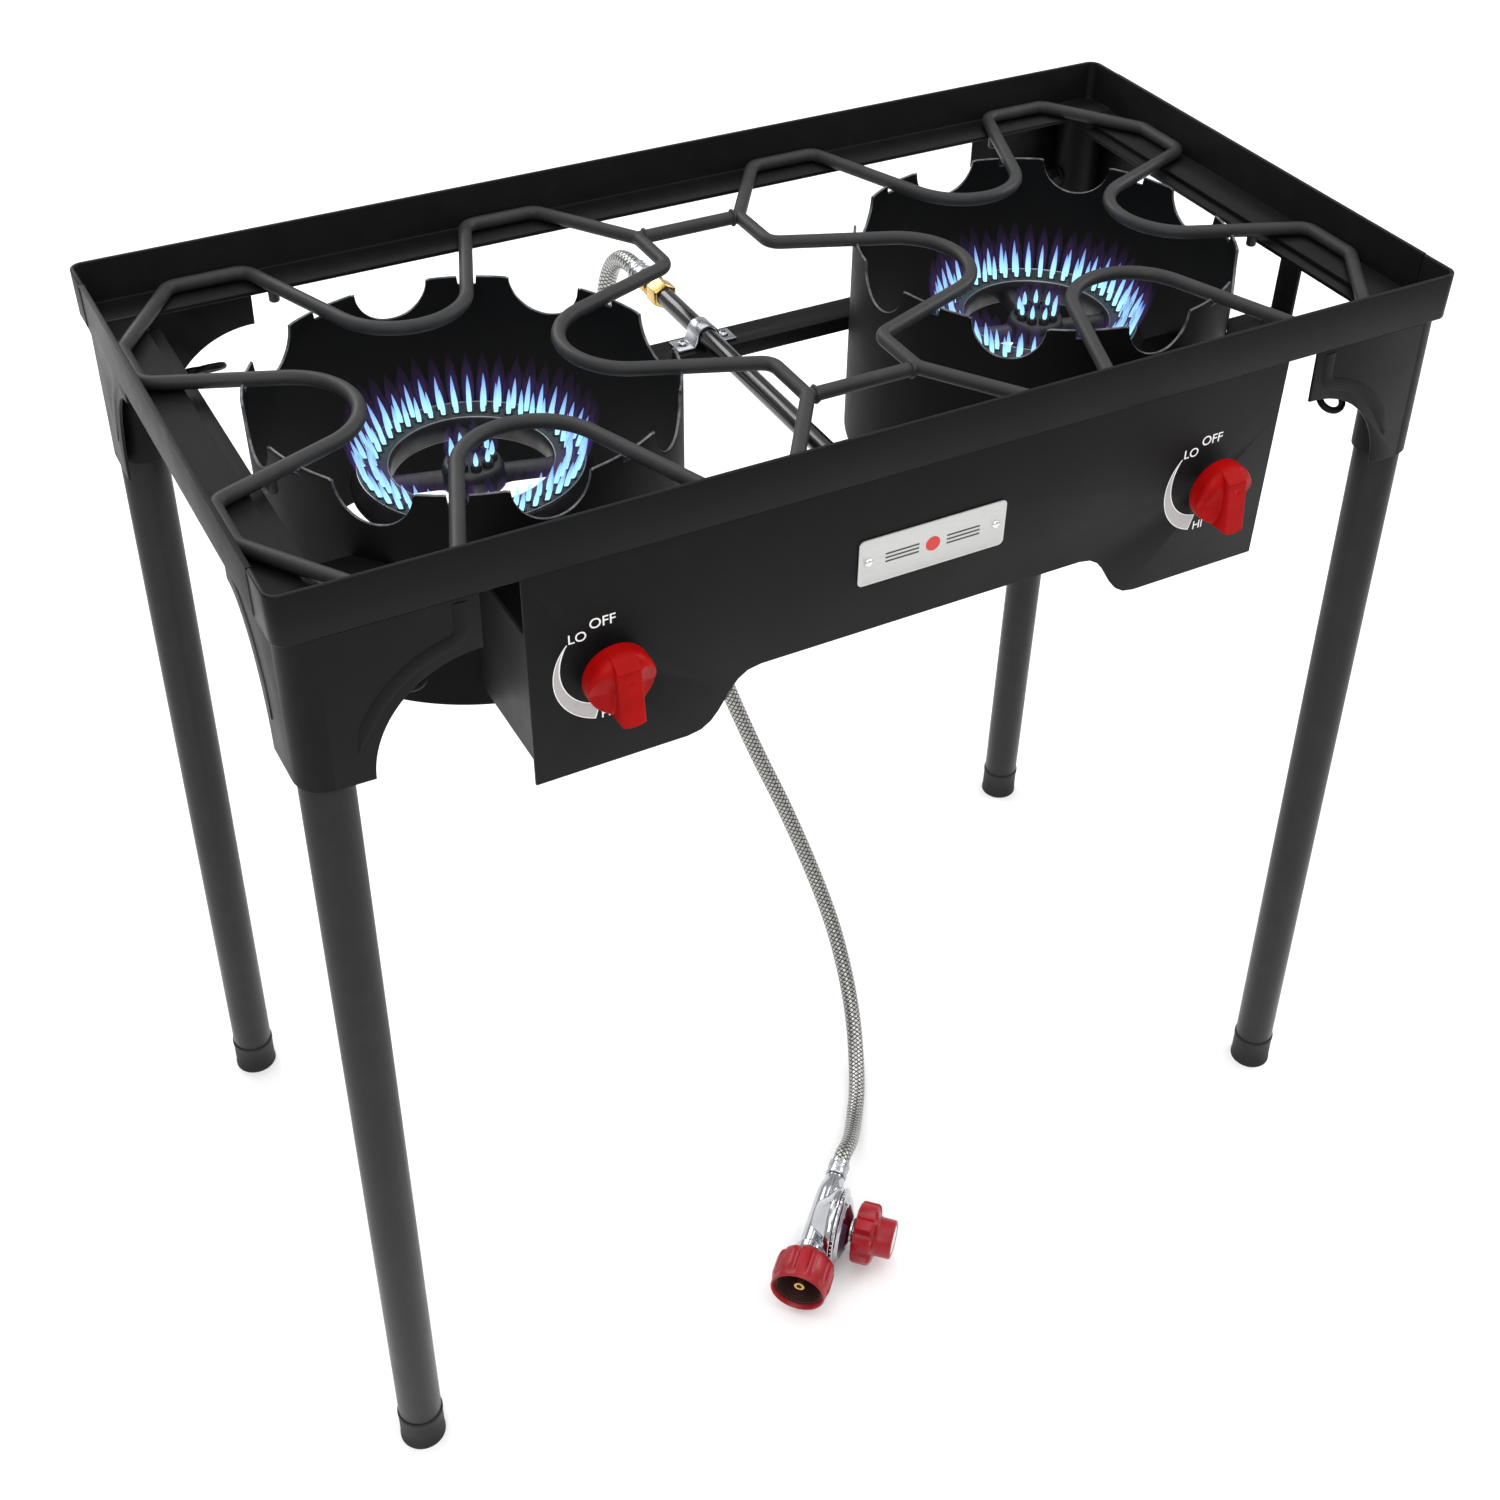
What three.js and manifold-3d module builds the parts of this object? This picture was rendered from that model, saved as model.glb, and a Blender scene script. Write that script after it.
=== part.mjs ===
// Two-burner propane stand: an angle-iron frame on four splayed legs, a bent-rod pot rack,
// two cast burners in sheet wind guards, a control panel with two needle valves, and a braided
// gas hose with its regulator lying on the ground.
// Millimetres, +Z up, +X along the long side, -Y towards the cook. Z = 0 is the ground.
import * as THREE from 'three';
import { mergeVertices } from 'three/addons/utils/BufferGeometryUtils.js';
import Module from 'manifold-3d';

const wasm = await Module();
wasm.setup();

// ---------------------------------------------------------------- driving dimensions
const GAP = 0.3;                   // clearance left between separate pieces

const FRAME = { length: 810, depth: 412, top: 776, leg: 32, sheet: 3, corner: 9 };
const LEG = { radius: 16, wall: 1.5, splayX: 18, splayY: 22, insetX: 22, insetY: 20 };
const FOOT = { radius: 17, height: 30, floor: 5 };
const SOCKET = { height: 102, sheet: 2, reachX: 92, reachY: 82, archX: 68, archY: 48, archZY: 86 };
const EYE = { z: 693, shank: 3, ringAt: 54, ring: 8.6, wire: 2.4, tilt: 0.6, nut: 7.5, nutLength: 9 };
const STRIP = { inner: 364, outer: 396, half: 158, sheet: 3, tabY: -92, tabZ: 700 };
const BURNER = { x: 217.5, top: 692, depth: 16, outer: 78, inner: 52, hub: 22, spoke: 8 };
const GUARD = { radius: 135, sheet: 2, bottom: 600, top: 752, scallop: 25, notch: 13, notchDepth: 6 };
const RACK = { rod: 4.75, halfX: 178, halfY: 190, cutX: 130, cutY: 120, mouthX: 78, mouthY: 74 };
const PETAL = { tip: 69, meet: -12, bend: 12, shiftY: 4 };
const PEG = { radius: 3.6, length: 7, y: 164, endX: 141 };
const PIPE = { radius: 7, z: 680, rear: 163, front: -170.5, manifoldY: -178 };
const FITTING = { nut: 10.4, adapter: 9.2, step: 180, end: 197 };
const BAR = { half: 150, y0: 90, y1: 116, sheet: 3, lip: 11, top: 672.6 };
const CLAMP = { y0: 95, y1: 111, half: 24, sheet: 1.8, screwX: 16.5, screw: 2, head: 3.6 };
const PANEL = { half: 268, sheet: 2, ear: 596, middle: 634, step0: 118, step1: 168 };
const RETURN = { z0: 615, z1: 705, y: -120 };
const PLATE = { halfX: 53, halfZ: 16.5, z: 686, sheet: 1, corner: 3 };
const KNOB = { z: 667, skirt: 21.5, skirtDepth: 10, grip: 7.5, depth: 26, gap: 7, boreDepth: 12 };
const VALVE = { half: 14, y0: -196, y1: -162, z0: 644, z1: 692, stem: 4, stemIn: -184 };
const JET = { radius: 5, end: -143 };
const TUBE = { z: 655, outer: 14, inner: 11, front: -147, neck: 12 };
const SHUTTER = { radius: 17.5, sheet: 3 };
const SEAT = { width: 20, sheet: 3, bolt: 3, head: 6, headHeight: 6 };
const HOSE = { radius: 7, sides: 8, steps: 60, ferrule: 8.8, start: 212.3 };
const REG = { x: -45, y: -212, z: 32, flow: -10, disc: 31, neck: 10, knob: 25, cap: 16 };
const TANK = { start: 39, back: 46, mouth: 71, outer: 24, bore: 19, nipple: 7, tip: 4.5 };

const frameBottom = FRAME.top - FRAME.leg;
const shelfTop = frameBottom + FRAME.sheet;
const innerX = FRAME.length / 2 - FRAME.leg;
const innerY = FRAME.depth / 2 - FRAME.leg;
const panelFront = 1 - FRAME.depth / 2;
const knobFront = panelFront - KNOB.gap - KNOB.depth;
const footX = FRAME.length / 2 - LEG.insetX + LEG.splayX;
const footY = FRAME.depth / 2 - LEG.insetY + LEG.splayY;
const rodZ = shelfTop + GAP + RACK.rod;
const sleeve = LEG.radius + GAP + SOCKET.sheet;
const burnerBottom = BURNER.top - BURNER.depth;
// The origin is under the middle of the stand's own box, from the knobs to the rear feet.
const originY = (knobFront + footY + FOOT.radius) / 2;

const QUARTER = Math.PI / 2;
const REACH = 1000;                // longer than the whole stand, for half-space cuts
const corners = { fl: [-1, -1], fr: [1, -1], bl: [-1, 1], br: [1, 1] };
const sides = { left: -1, right: 1 };

// The hose's centreline, from the rear fitting down behind the stand and along the ground.
const hoseRoute = [
  [0, 212.3, 680], [0, 226, 680], [0, 241, 676], [-1, 254, 665.5], [-2.5, 262, 649],
  [-4, 264.5, 628], [-4, 261.5, 601], [-1, 252, 567], [6, 236, 523], [15, 213, 470],
  [26, 186, 405], [36, 161, 345], [46, 142, 300], [59, 119, 250], [75, 92, 195],
  [87.5, 62, 140], [93.5, 34, 96], [92.5, 6, 59], [85.5, -22, 32], [71.5, -54, 14.5],
  [53.5, -86, 8.4], [39.5, -106, 9.8], [25, -126, 16.5], [12, -142, 25.5], [0, -153, 31.3],
  [-4.6, -157.5, 32], [-8.1, -161, 32],
];

// ---------------------------------------------------------------- finishes
const finish = (color, roughness, metalness) => ({ color, roughness, metalness });
const FINISH = {
  powder: finish(0x1d1e22, 0.62, 0.0),
  rod: finish(0x2b2b2f, 0.7, 0.0),
  castIron: finish(0x3a3a3c, 0.65, 0.6),
  gloss: finish(0x101012, 0.25, 0.0),
  brass: finish(0xb98a3c, 0.35, 1.0),
  zinc: finish(0xb9bfc6, 0.35, 1.0),
  plate: finish(0xc9c9c7, 0.4, 1.0),
  red: finish(0xd3191a, 0.3, 0.0),
  darkRed: finish(0xa3131f, 0.35, 0.0),
  braid: finish(0x8f908c, 0.45, 1.0),
  chrome: finish(0xc8ccd0, 0.15, 1.0),
  rubber: finish(0x141416, 0.75, 0.0),
};

// ---------------------------------------------------------------- geometry helpers
const stand = new THREE.Group();
stand.position.y = -originY;

function addPiece(name, geometry, look, parent = stand) {
  const mesh = new THREE.Mesh(geometry, new THREE.MeshStandardMaterial(look));
  mesh.name = name;
  parent.add(mesh);
  return mesh;
}

function solid(geometry) {
  const bare = geometry.clone();
  bare.deleteAttribute('normal');
  bare.deleteAttribute('uv');
  const merged = mergeVertices(bare, 1e-3);
  return new wasm.Manifold(new wasm.Mesh({
    numProp: 3,
    vertProperties: new Float32Array(merged.attributes.position.array),
    triVerts: new Uint32Array(merged.index.array),
  }));
}

function toGeometry(body) {
  const mesh = body.getMesh();
  const geometry = new THREE.BufferGeometry();
  geometry.setAttribute('position', new THREE.BufferAttribute(new Float32Array(mesh.vertProperties), 3));
  geometry.setIndex(new THREE.BufferAttribute(new Uint32Array(mesh.triVerts), 1));
  geometry.computeVertexNormals();
  return geometry;
}

const join = (...pieces) => pieces.map(solid).reduce((sum, piece) => sum.add(piece));
const cut = (body, ...tools) => tools.map(solid).reduce((left, tool) => left.subtract(tool), body);

// An indexed geometry mirrored across X and/or Y, with its faces kept pointing out.
function mirrored(geometry, signX, signY) {
  const copy = geometry.clone().applyMatrix4(new THREE.Matrix4().makeScale(signX, signY, 1));
  if (signX * signY < 0) {
    const index = copy.index.array;
    for (let i = 0; i < index.length; i += 3) {
      [index[i], index[i + 1]] = [index[i + 1], index[i]];
    }
  }
  copy.computeVertexNormals();
  return copy;
}

function block(x0, x1, y0, y1, z0, z1) {
  const geometry = new THREE.BoxGeometry(x1 - x0, y1 - y0, z1 - z0);
  return geometry.translate((x0 + x1) / 2, (y0 + y1) / 2, (z0 + z1) / 2);
}

// A cylinder from one point to another; a second radius makes it a cone.
function rodBetween(from, to, radius, segments = 16, endRadius = radius) {
  const start = new THREE.Vector3(...from);
  const end = new THREE.Vector3(...to);
  const along = end.clone().sub(start);
  const geometry = new THREE.CylinderGeometry(endRadius, radius, along.length(), segments);
  const turn = new THREE.Quaternion();
  turn.setFromUnitVectors(new THREE.Vector3(0, 1, 0), along.normalize());
  geometry.applyQuaternion(turn);
  const middle = start.add(end).multiplyScalar(0.5);
  return geometry.translate(middle.x, middle.y, middle.z);
}

// A shape turned about Z from a closed, counter-clockwise profile of [radius, height] points.
function turned(profile, segments) {
  const points = profile.map(([r, z]) => new THREE.Vector2(r, z));
  points.push(points[0].clone());
  return new THREE.LatheGeometry(points, segments).rotateX(QUARTER);
}

function plate(outline, depth) {
  const shape = Array.isArray(outline)
    ? new THREE.Shape(outline.map(([x, y]) => new THREE.Vector2(x, y)))
    : outline;
  return new THREE.ExtrudeGeometry(shape, { depth, bevelEnabled: false, curveSegments: 8 });
}

// Turns an outline drawn in X-Y upright: its Y becomes Z and its thickness runs towards -Y.
const upright = (outline, depth, frontY) => plate(outline, depth).rotateX(QUARTER)
  .translate(0, frontY + depth, 0);

function roundedRectangle(halfX, halfY, radius) {
  const shape = new THREE.Shape();
  shape.moveTo(halfX, radius - halfY);
  shape.absarc(halfX - radius, halfY - radius, radius, 0, QUARTER, false);
  shape.absarc(radius - halfX, halfY - radius, radius, QUARTER, 2 * QUARTER, false);
  shape.absarc(radius - halfX, radius - halfY, radius, 2 * QUARTER, 3 * QUARTER, false);
  shape.absarc(halfX - radius, radius - halfY, radius, 3 * QUARTER, 4 * QUARTER, false);
  return shape;
}

// A regular polygon; half a step of turn lays one of its flats, not a corner, uppermost.
function roundSection(radius, count, turn = 0) {
  const points = [];
  for (let i = 0; i < count; i += 1) {
    const angle = ((i + turn) / count) * 4 * QUARTER;
    points.push(new THREE.Vector2(radius * Math.cos(angle), radius * Math.sin(angle)));
  }
  return new THREE.Shape(points);
}

// A curve whose steps fall exactly on its own list of vertices, so bends get the short steps.
class VertexPath extends THREE.Curve {
  constructor(vertices) {
    super();
    this.vertices = vertices;
  }

  getPoint(t) {
    const place = t * (this.vertices.length - 1);
    const i = Math.min(Math.floor(place), this.vertices.length - 2);
    return this.vertices[i].clone().lerp(this.vertices[i + 1], place - i);
  }

  getPointAt(u) {
    return this.getPoint(u);
  }

  getTangentAt(u) {
    const i = Math.round(u * (this.vertices.length - 1));
    const before = this.vertices[Math.max(i - 1, 0)];
    const here = this.vertices[i];
    const after = this.vertices[Math.min(i + 1, this.vertices.length - 1)];
    const into = here.clone().sub(before).normalize();
    const out = after.clone().sub(here).normalize();
    return into.add(out).normalize();
  }
}

// A six-sided rod through level vertices, its top and bottom flats at the round rod's height.
function levelRod(vertices, radius) {
  const extrudePath = new VertexPath(vertices);
  const steps = vertices.length - 1;
  const section = roundSection(radius / Math.cos(QUARTER / 3), 6, 0.5);
  return new THREE.ExtrudeGeometry(section, { steps, extrudePath });
}

// ---------------------------------------------------------------- top frame
function buildFrame() {
  const halfX = FRAME.length / 2;
  const halfY = FRAME.depth / 2;
  const wall = roundedRectangle(halfX, halfY, FRAME.corner);
  const inset = FRAME.sheet;
  wall.holes.push(roundedRectangle(halfX - inset, halfY - inset, FRAME.corner - inset));
  const shelf = roundedRectangle(halfX, halfY, FRAME.corner);
  shelf.holes.push(roundedRectangle(innerX, innerY, 2));
  const ring = join(
    plate(wall, FRAME.leg).translate(0, 0, frameBottom),
    plate(shelf, FRAME.sheet).translate(0, 0, frameBottom),
  );
  const half = (x0, x1, y0, y1) => ring.intersect(solid(block(x0, x1, y0, y1, 0, REACH)));
  const end = innerY - GAP;
  const rails = {
    front: half(-REACH, REACH, -REACH, -innerY),
    rear: half(-REACH, REACH, innerY, REACH),
    left: half(-REACH, 0, -end, end),
    right: half(0, REACH, -end, end),
  };
  for (const [side, rail] of Object.entries(rails)) {
    addPiece(`frame_rail_${side}`, toGeometry(rail), FINISH.powder);
  }
}

const guardHole = (extra) => rodBetween([BURNER.x, 0, 500], [BURNER.x, 0, 900], GUARD.radius + extra, 48);

// Flat strips under the end shelves, each with a hanger that holds a wind guard's side.
function buildSideStrips() {
  const top = frameBottom - GAP;
  const { inner, outer, half, sheet, tabY, tabZ } = STRIP;
  const strip = join(
    block(inner, outer, -half, half, top - sheet, top),
    block(inner, inner + sheet, tabY - 10, tabY + 10, tabZ, top - 1),
    block(BURNER.x + GUARD.radius / 2, inner + sheet, tabY - 10, tabY + 10, tabZ, tabZ + sheet),
  );
  const trimmed = toGeometry(cut(strip, guardHole(GAP)));
  for (const [side, sign] of Object.entries(sides)) {
    addPiece(`side_strip_${side}`, mirrored(trimmed, sign, 1), FINISH.powder);
  }
}

// ---------------------------------------------------------------- legs and their sockets
// A gusset's face: x runs inwards along the rail and y is height; its lower corner is an arch.
function gusset(reach, archWidth, archHeight) {
  const bottom = frameBottom - SOCKET.height;
  const shape = new THREE.Shape();
  shape.moveTo(0, bottom);
  shape.lineTo(reach - archWidth, bottom);
  shape.absellipse(reach, bottom, archWidth, archHeight, 2 * QUARTER, QUARTER, true);
  shape.lineTo(reach, FRAME.top);
  shape.lineTo(0, FRAME.top);
  return shape;
}

// The socket of the front left leg, upright about the leg's axis, +x and +y inwards.
function drawSocket() {
  const bottom = frameBottom - SOCKET.height;
  const faceX = upright(gusset(SOCKET.reachX, SOCKET.archX, SOCKET.archX), SOCKET.sheet, -sleeve);
  const faceY = plate(gusset(SOCKET.reachY, SOCKET.archY, SOCKET.archZY), SOCKET.sheet);
  faceY.rotateX(QUARTER).rotateZ(QUARTER).translate(-sleeve, 0, 0);
  const tube = rodBetween([0, 0, bottom], [0, 0, FRAME.top], sleeve, 24);
  const nutFace = sleeve + EYE.nutLength;
  const nut = rodBetween([sleeve - 1, 0, EYE.z], [nutFace, 0, EYE.z], EYE.nut, 6);
  const body = cut(
    join(tube, faceX, faceY, nut),
    rodBetween([0, 0, bottom - 1], [0, 0, FRAME.top + 1], LEG.radius + GAP, 24),
    rodBetween([0, 0, EYE.z], [nutFace + 1, 0, EYE.z], EYE.shank + 2 * GAP, 12),
  );
  return toGeometry(body);
}

function drawEyeScrew() {
  const ring = new THREE.TorusGeometry(EYE.ring, EYE.wire, 6, 14);
  ring.rotateX(EYE.tilt).translate(EYE.ringAt, 0, EYE.z);
  const tip = LEG.radius + 2 * GAP;
  const shank = rodBetween([tip, 0, EYE.z], [EYE.ringAt - EYE.ring, 0, EYE.z], EYE.shank, 10);
  return toGeometry(join(ring, shank));
}

function drawLeg() {
  const start = FOOT.floor + GAP;
  const end = frameBottom - 12;
  const tube = join(rodBetween([0, 0, start], [0, 0, end], LEG.radius, 24));
  return toGeometry(cut(tube, rodBetween([0, 0, 0], [0, 0, end + 1], LEG.radius - LEG.wall, 24)));
}

// A push-on cap, cut level so that the leaning leg stands flat.
function drawFoot(lean) {
  const cap = join(rodBetween([0, 0, -5], [0, 0, FOOT.height], FOOT.radius, 24));
  const bore = rodBetween([0, 0, FOOT.floor], [0, 0, FOOT.height + 1], LEG.radius + GAP, 24);
  const leaning = toGeometry(cut(cap, bore)).applyMatrix4(lean);
  const below = block(-REACH, REACH, -REACH, REACH, -REACH, 0);
  return toGeometry(cut(solid(leaning), below));
}

function buildLegs() {
  const socket = drawSocket();
  const eyeScrew = drawEyeScrew();
  const leg = drawLeg();
  const above = block(-REACH, REACH, -REACH, REACH, frameBottom - GAP, REACH);
  for (const [corner, [signX, signY]] of Object.entries(corners)) {
    const axis = new THREE.Vector3(-signX * LEG.splayX, -signY * LEG.splayY, FRAME.top).normalize();
    const turn = new THREE.Quaternion().setFromUnitVectors(new THREE.Vector3(0, 0, 1), axis);
    const place = new THREE.Vector3(signX * footX, signY * footY, 0);
    const lean = new THREE.Matrix4().compose(place, turn, new THREE.Vector3(1, 1, 1));
    const leaned = mirrored(socket, -signX, -signY).applyMatrix4(lean);
    addPiece(`leg_socket_${corner}`, toGeometry(cut(solid(leaned), above)), FINISH.powder);
    addPiece(`leg_foot_${corner}`, drawFoot(lean), FINISH.rubber);

    const upright = new THREE.Group();
    upright.position.copy(place);
    upright.quaternion.copy(turn);
    stand.add(upright);
    addPiece(`leg_${corner}`, leg.clone(), FINISH.powder, upright);
    addPiece(`eye_screw_${corner}`, mirrored(eyeScrew, -signX, -signY), FINISH.powder, upright);
  }
}

// ---------------------------------------------------------------- pot rack
// Rounds a polyline's inner corners with short chords.
function filleted(points, radius) {
  const out = [points[0]];
  for (let i = 1; i < points.length - 1; i += 1) {
    const back = points[i - 1].clone().sub(points[i]).normalize();
    const ahead = points[i + 1].clone().sub(points[i]).normalize();
    const halfAngle = back.angleTo(ahead) / 2;
    const reach = radius / Math.tan(halfAngle);
    const start = points[i].clone().addScaledVector(back, reach);
    const end = points[i].clone().addScaledVector(ahead, reach);
    const bend = new THREE.QuadraticBezierCurve3(start, points[i], end);
    out.push(...bend.getPoints(3));
  }
  out.push(points[points.length - 1]);
  return out;
}

// Half a petal's width at a distance from the loop's centre: its legs aim at one point.
const petalWidth = (half, mouth, distance) => mouth * (distance - PETAL.meet) / (half - PETAL.meet);

// The petal's round tip touches both of its straight legs; this gives its circle.
function petalCircle(half, mouth) {
  const lean = Math.atan2(mouth, half - PETAL.meet);
  const middle = (PETAL.tip - PETAL.meet * Math.sin(lean)) / (1 - Math.sin(lean));
  return { lean, middle, radius: middle - PETAL.tip };
}

// One side of a loop with its inward petal, drawn as the +y side from mid-corner to mid-corner.
function petalSide(half, mouth, cutEnd, middleX, middleY) {
  const { lean, middle, radius } = petalCircle(half, mouth);
  const right = [
    [middleX + 0.5, middleY - 0.5], [cutEnd, half], [mouth, half],
    [radius * Math.cos(lean), middle - radius * Math.sin(lean)],
  ].map(([x, y]) => new THREE.Vector3(x, y, 0));
  const arm = filleted(right, PETAL.bend);
  const tip = [];
  const steps = 8;
  for (let i = 1; i < steps; i += 1) {
    const angle = -lean - (i / steps) * (2 * QUARTER - 2 * lean);
    tip.push(new THREE.Vector3(radius * Math.cos(angle), middle + radius * Math.sin(angle), 0));
  }
  const otherArm = arm.map((p) => new THREE.Vector3(-p.x, p.y, 0)).reverse();
  return [...arm, ...tip, ...otherArm];
}

const rackMiddleX = (RACK.halfX + RACK.cutX) / 2;
const rackMiddleY = (RACK.halfY + RACK.cutY) / 2;

function rackSides() {
  const long = petalSide(RACK.halfY, RACK.mouthX, RACK.cutX, rackMiddleX, rackMiddleY);
  const short = petalSide(RACK.halfX, RACK.mouthY, RACK.cutY, rackMiddleY, rackMiddleX);
  const turnedBy = (path, angle) => path.map((p) => p.clone().applyAxisAngle(new THREE.Vector3(0, 0, 1), angle));
  return [long, turnedBy(short, QUARTER), turnedBy(long, 2 * QUARTER), turnedBy(short, 3 * QUARTER)];
}

// Where the loop's rods pass over the guard's wall, as angles about the burner.
function rackCrossings() {
  const angles = [];
  for (const path of rackSides()) {
    for (let i = 1; i < path.length; i += 1) {
      const a = path[i - 1].clone().setY(path[i - 1].y + PETAL.shiftY);
      const b = path[i].clone().setY(path[i].y + PETAL.shiftY);
      const wall = GUARD.radius - GUARD.sheet / 2;
      if ((a.length() - wall) * (b.length() - wall) < 0) {
        const share = (wall - a.length()) / (b.length() - a.length());
        const crossing = a.lerp(b, share);
        angles.push(Math.atan2(crossing.y, crossing.x));
      }
    }
  }
  return angles;
}

function buildPotRack() {
  const parts = [];
  for (const sign of Object.values(sides)) {
    const centre = sign * BURNER.x;
    for (const path of rackSides()) {
      parts.push(levelRod(path, RACK.rod).translate(centre, 0, rodZ));
    }
    const sideX = sign * petalWidth(RACK.halfY, RACK.mouthX, PEG.y);
    const endY = petalWidth(RACK.halfX, RACK.mouthY, PEG.endX);
    const pegs = [
      [centre + sideX, PEG.y],
      [centre + sideX, -PEG.y],
      [centre + sign * PEG.endX, -endY],
    ];
    for (const [x, y] of pegs) {
      parts.push(rodBetween([x, y, rodZ - RACK.rod - PEG.length], [x, y, rodZ], PEG.radius, 8));
    }
  }
  const linkHalf = BURNER.x - RACK.halfX;
  for (const sign of Object.values(sides)) {
    const ends = [-1, 1].map((end) => new THREE.Vector3(end * linkHalf, sign * RACK.cutY, rodZ));
    parts.push(levelRod(ends, RACK.rod));
  }
  const rack = toGeometry(join(...parts));
  addPiece('pot_rack', rack.translate(0, PETAL.shiftY, 0), FINISH.rod);
}

// ---------------------------------------------------------------- wind guards
function buildGuards() {
  const inner = GUARD.radius - GUARD.sheet;
  const wall = turned([[inner, 0], [GUARD.radius, 0], [GUARD.radius, 1], [inner, 1]], 48);
  wall.scale(1, 1, GUARD.top - GUARD.bottom).translate(0, 0, GUARD.bottom);
  const tools = [];
  for (let i = 0; i < 4; i += 1) {
    const turnTo = i * (QUARTER / 2);
    const scallop = rodBetween([-200, 0, GUARD.top + 1], [200, 0, GUARD.top + 1], GUARD.scallop, 20);
    tools.push(scallop.rotateZ(turnTo));
  }
  for (const angle of rackCrossings()) {
    const half = GUARD.notch / 2;
    const notch = block(inner - 8, GUARD.radius + 8, -half, half, GUARD.top - GUARD.notchDepth, GUARD.top + 1);
    tools.push(notch.rotateZ(angle));
  }
  tools.push(rodBetween([0, -150, TUBE.z], [0, -100, TUBE.z], TUBE.outer + 3, 20));
  const guard = toGeometry(cut(solid(wall), ...tools));
  for (const [side, sign] of Object.entries(sides)) {
    addPiece(`wind_guard_${side}`, guard.clone().translate(sign * BURNER.x, 0, 0), FINISH.powder);
  }
}

// ---------------------------------------------------------------- burners
function drawBurner() {
  const { outer, inner, hub, spoke, top } = BURNER;
  const bottom = burnerBottom;
  const ring = turned([[inner, bottom], [outer, bottom], [outer - 6, top], [inner + 4, top]], 32);
  const parts = [ring, rodBetween([0, 0, bottom], [0, 0, top], hub, 20, hub - 4)];
  for (let i = 0; i < 4; i += 1) {
    const arm = block(hub - 4, inner + 6, -spoke, spoke, bottom, top - 6);
    parts.push(arm.rotateZ(i * QUARTER + QUARTER * 0.85));
  }
  return toGeometry(join(...parts));
}

function drawMixingTube() {
  const bottom = TUBE.z - TUBE.outer;
  const body = join(
    rodBetween([0, TUBE.front, TUBE.z], [0, TUBE.neck, TUBE.z], TUBE.outer, 20),
    rodBetween([0, 0, TUBE.z], [0, 0, burnerBottom - GAP], TUBE.neck, 20),
  );
  return toGeometry(cut(
    body,
    rodBetween([0, TUBE.front - 1, TUBE.z], [0, 0, TUBE.z], TUBE.inner, 20),
    rodBetween([0, 0, TUBE.z], [0, 0, burnerBottom], TUBE.neck - 3, 16),
    rodBetween([0, 0, bottom - 1], [0, 0, TUBE.z], SEAT.bolt + GAP, 10),
  ));
}

// A round plate on the tube's mouth with two air windows and a hole for the jet.
function drawShutter() {
  const front = TUBE.front - GAP - SHUTTER.sheet;
  const disc = new THREE.Shape();
  disc.absarc(0, 0, SHUTTER.radius, 0, 4 * QUARTER, false);
  const jetHole = new THREE.Path();
  jetHole.absarc(0, 0, JET.radius + 2 * GAP, 0, 4 * QUARTER, true);
  disc.holes.push(jetHole);
  for (const start of [0, 2 * QUARTER]) {
    const window = new THREE.Path();
    window.absarc(0, 0, TUBE.inner, start + 0.5, start + 2.4, false);
    window.absarc(0, 0, TUBE.inner - 3.5, start + 2.4, start + 0.5, true);
    window.closePath();
    disc.holes.push(window);
  }
  return upright(disc, SHUTTER.sheet, front).translate(0, 0, TUBE.z);
}

function drawBurnerSeat() {
  const top = TUBE.z - TUBE.outer - GAP;
  const reach = Math.sqrt((GUARD.radius - GUARD.sheet) ** 2 - (SEAT.width / 2) ** 2) - 2 * GAP;
  const bar = join(block(-reach, reach, -SEAT.width / 2, SEAT.width / 2, top - SEAT.sheet, top));
  return toGeometry(cut(bar, rodBetween([0, 0, top - 10], [0, 0, top + 10], SEAT.bolt + GAP, 10)));
}

function drawBurnerBolt() {
  const under = TUBE.z - TUBE.outer - SEAT.sheet - 2 * GAP;
  return toGeometry(join(
    rodBetween([0, 0, under - SEAT.headHeight], [0, 0, under], SEAT.head, 6),
    rodBetween([0, 0, under - 1], [0, 0, TUBE.z - TUBE.inner - 1], SEAT.bolt, 8),
  ));
}

function buildBurners() {
  const pieces = {
    burner: [drawBurner(), FINISH.castIron],
    mixing_tube: [drawMixingTube(), FINISH.castIron],
    air_shutter: [drawShutter(), FINISH.zinc],
    burner_seat: [drawBurnerSeat(), FINISH.powder],
    burner_bolt: [drawBurnerBolt(), FINISH.zinc],
  };
  for (const [side, sign] of Object.entries(sides)) {
    for (const [name, [geometry, look]] of Object.entries(pieces)) {
      addPiece(`${name}_${side}`, geometry.clone().translate(sign * BURNER.x, 0, 0), look);
    }
  }
}

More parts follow.
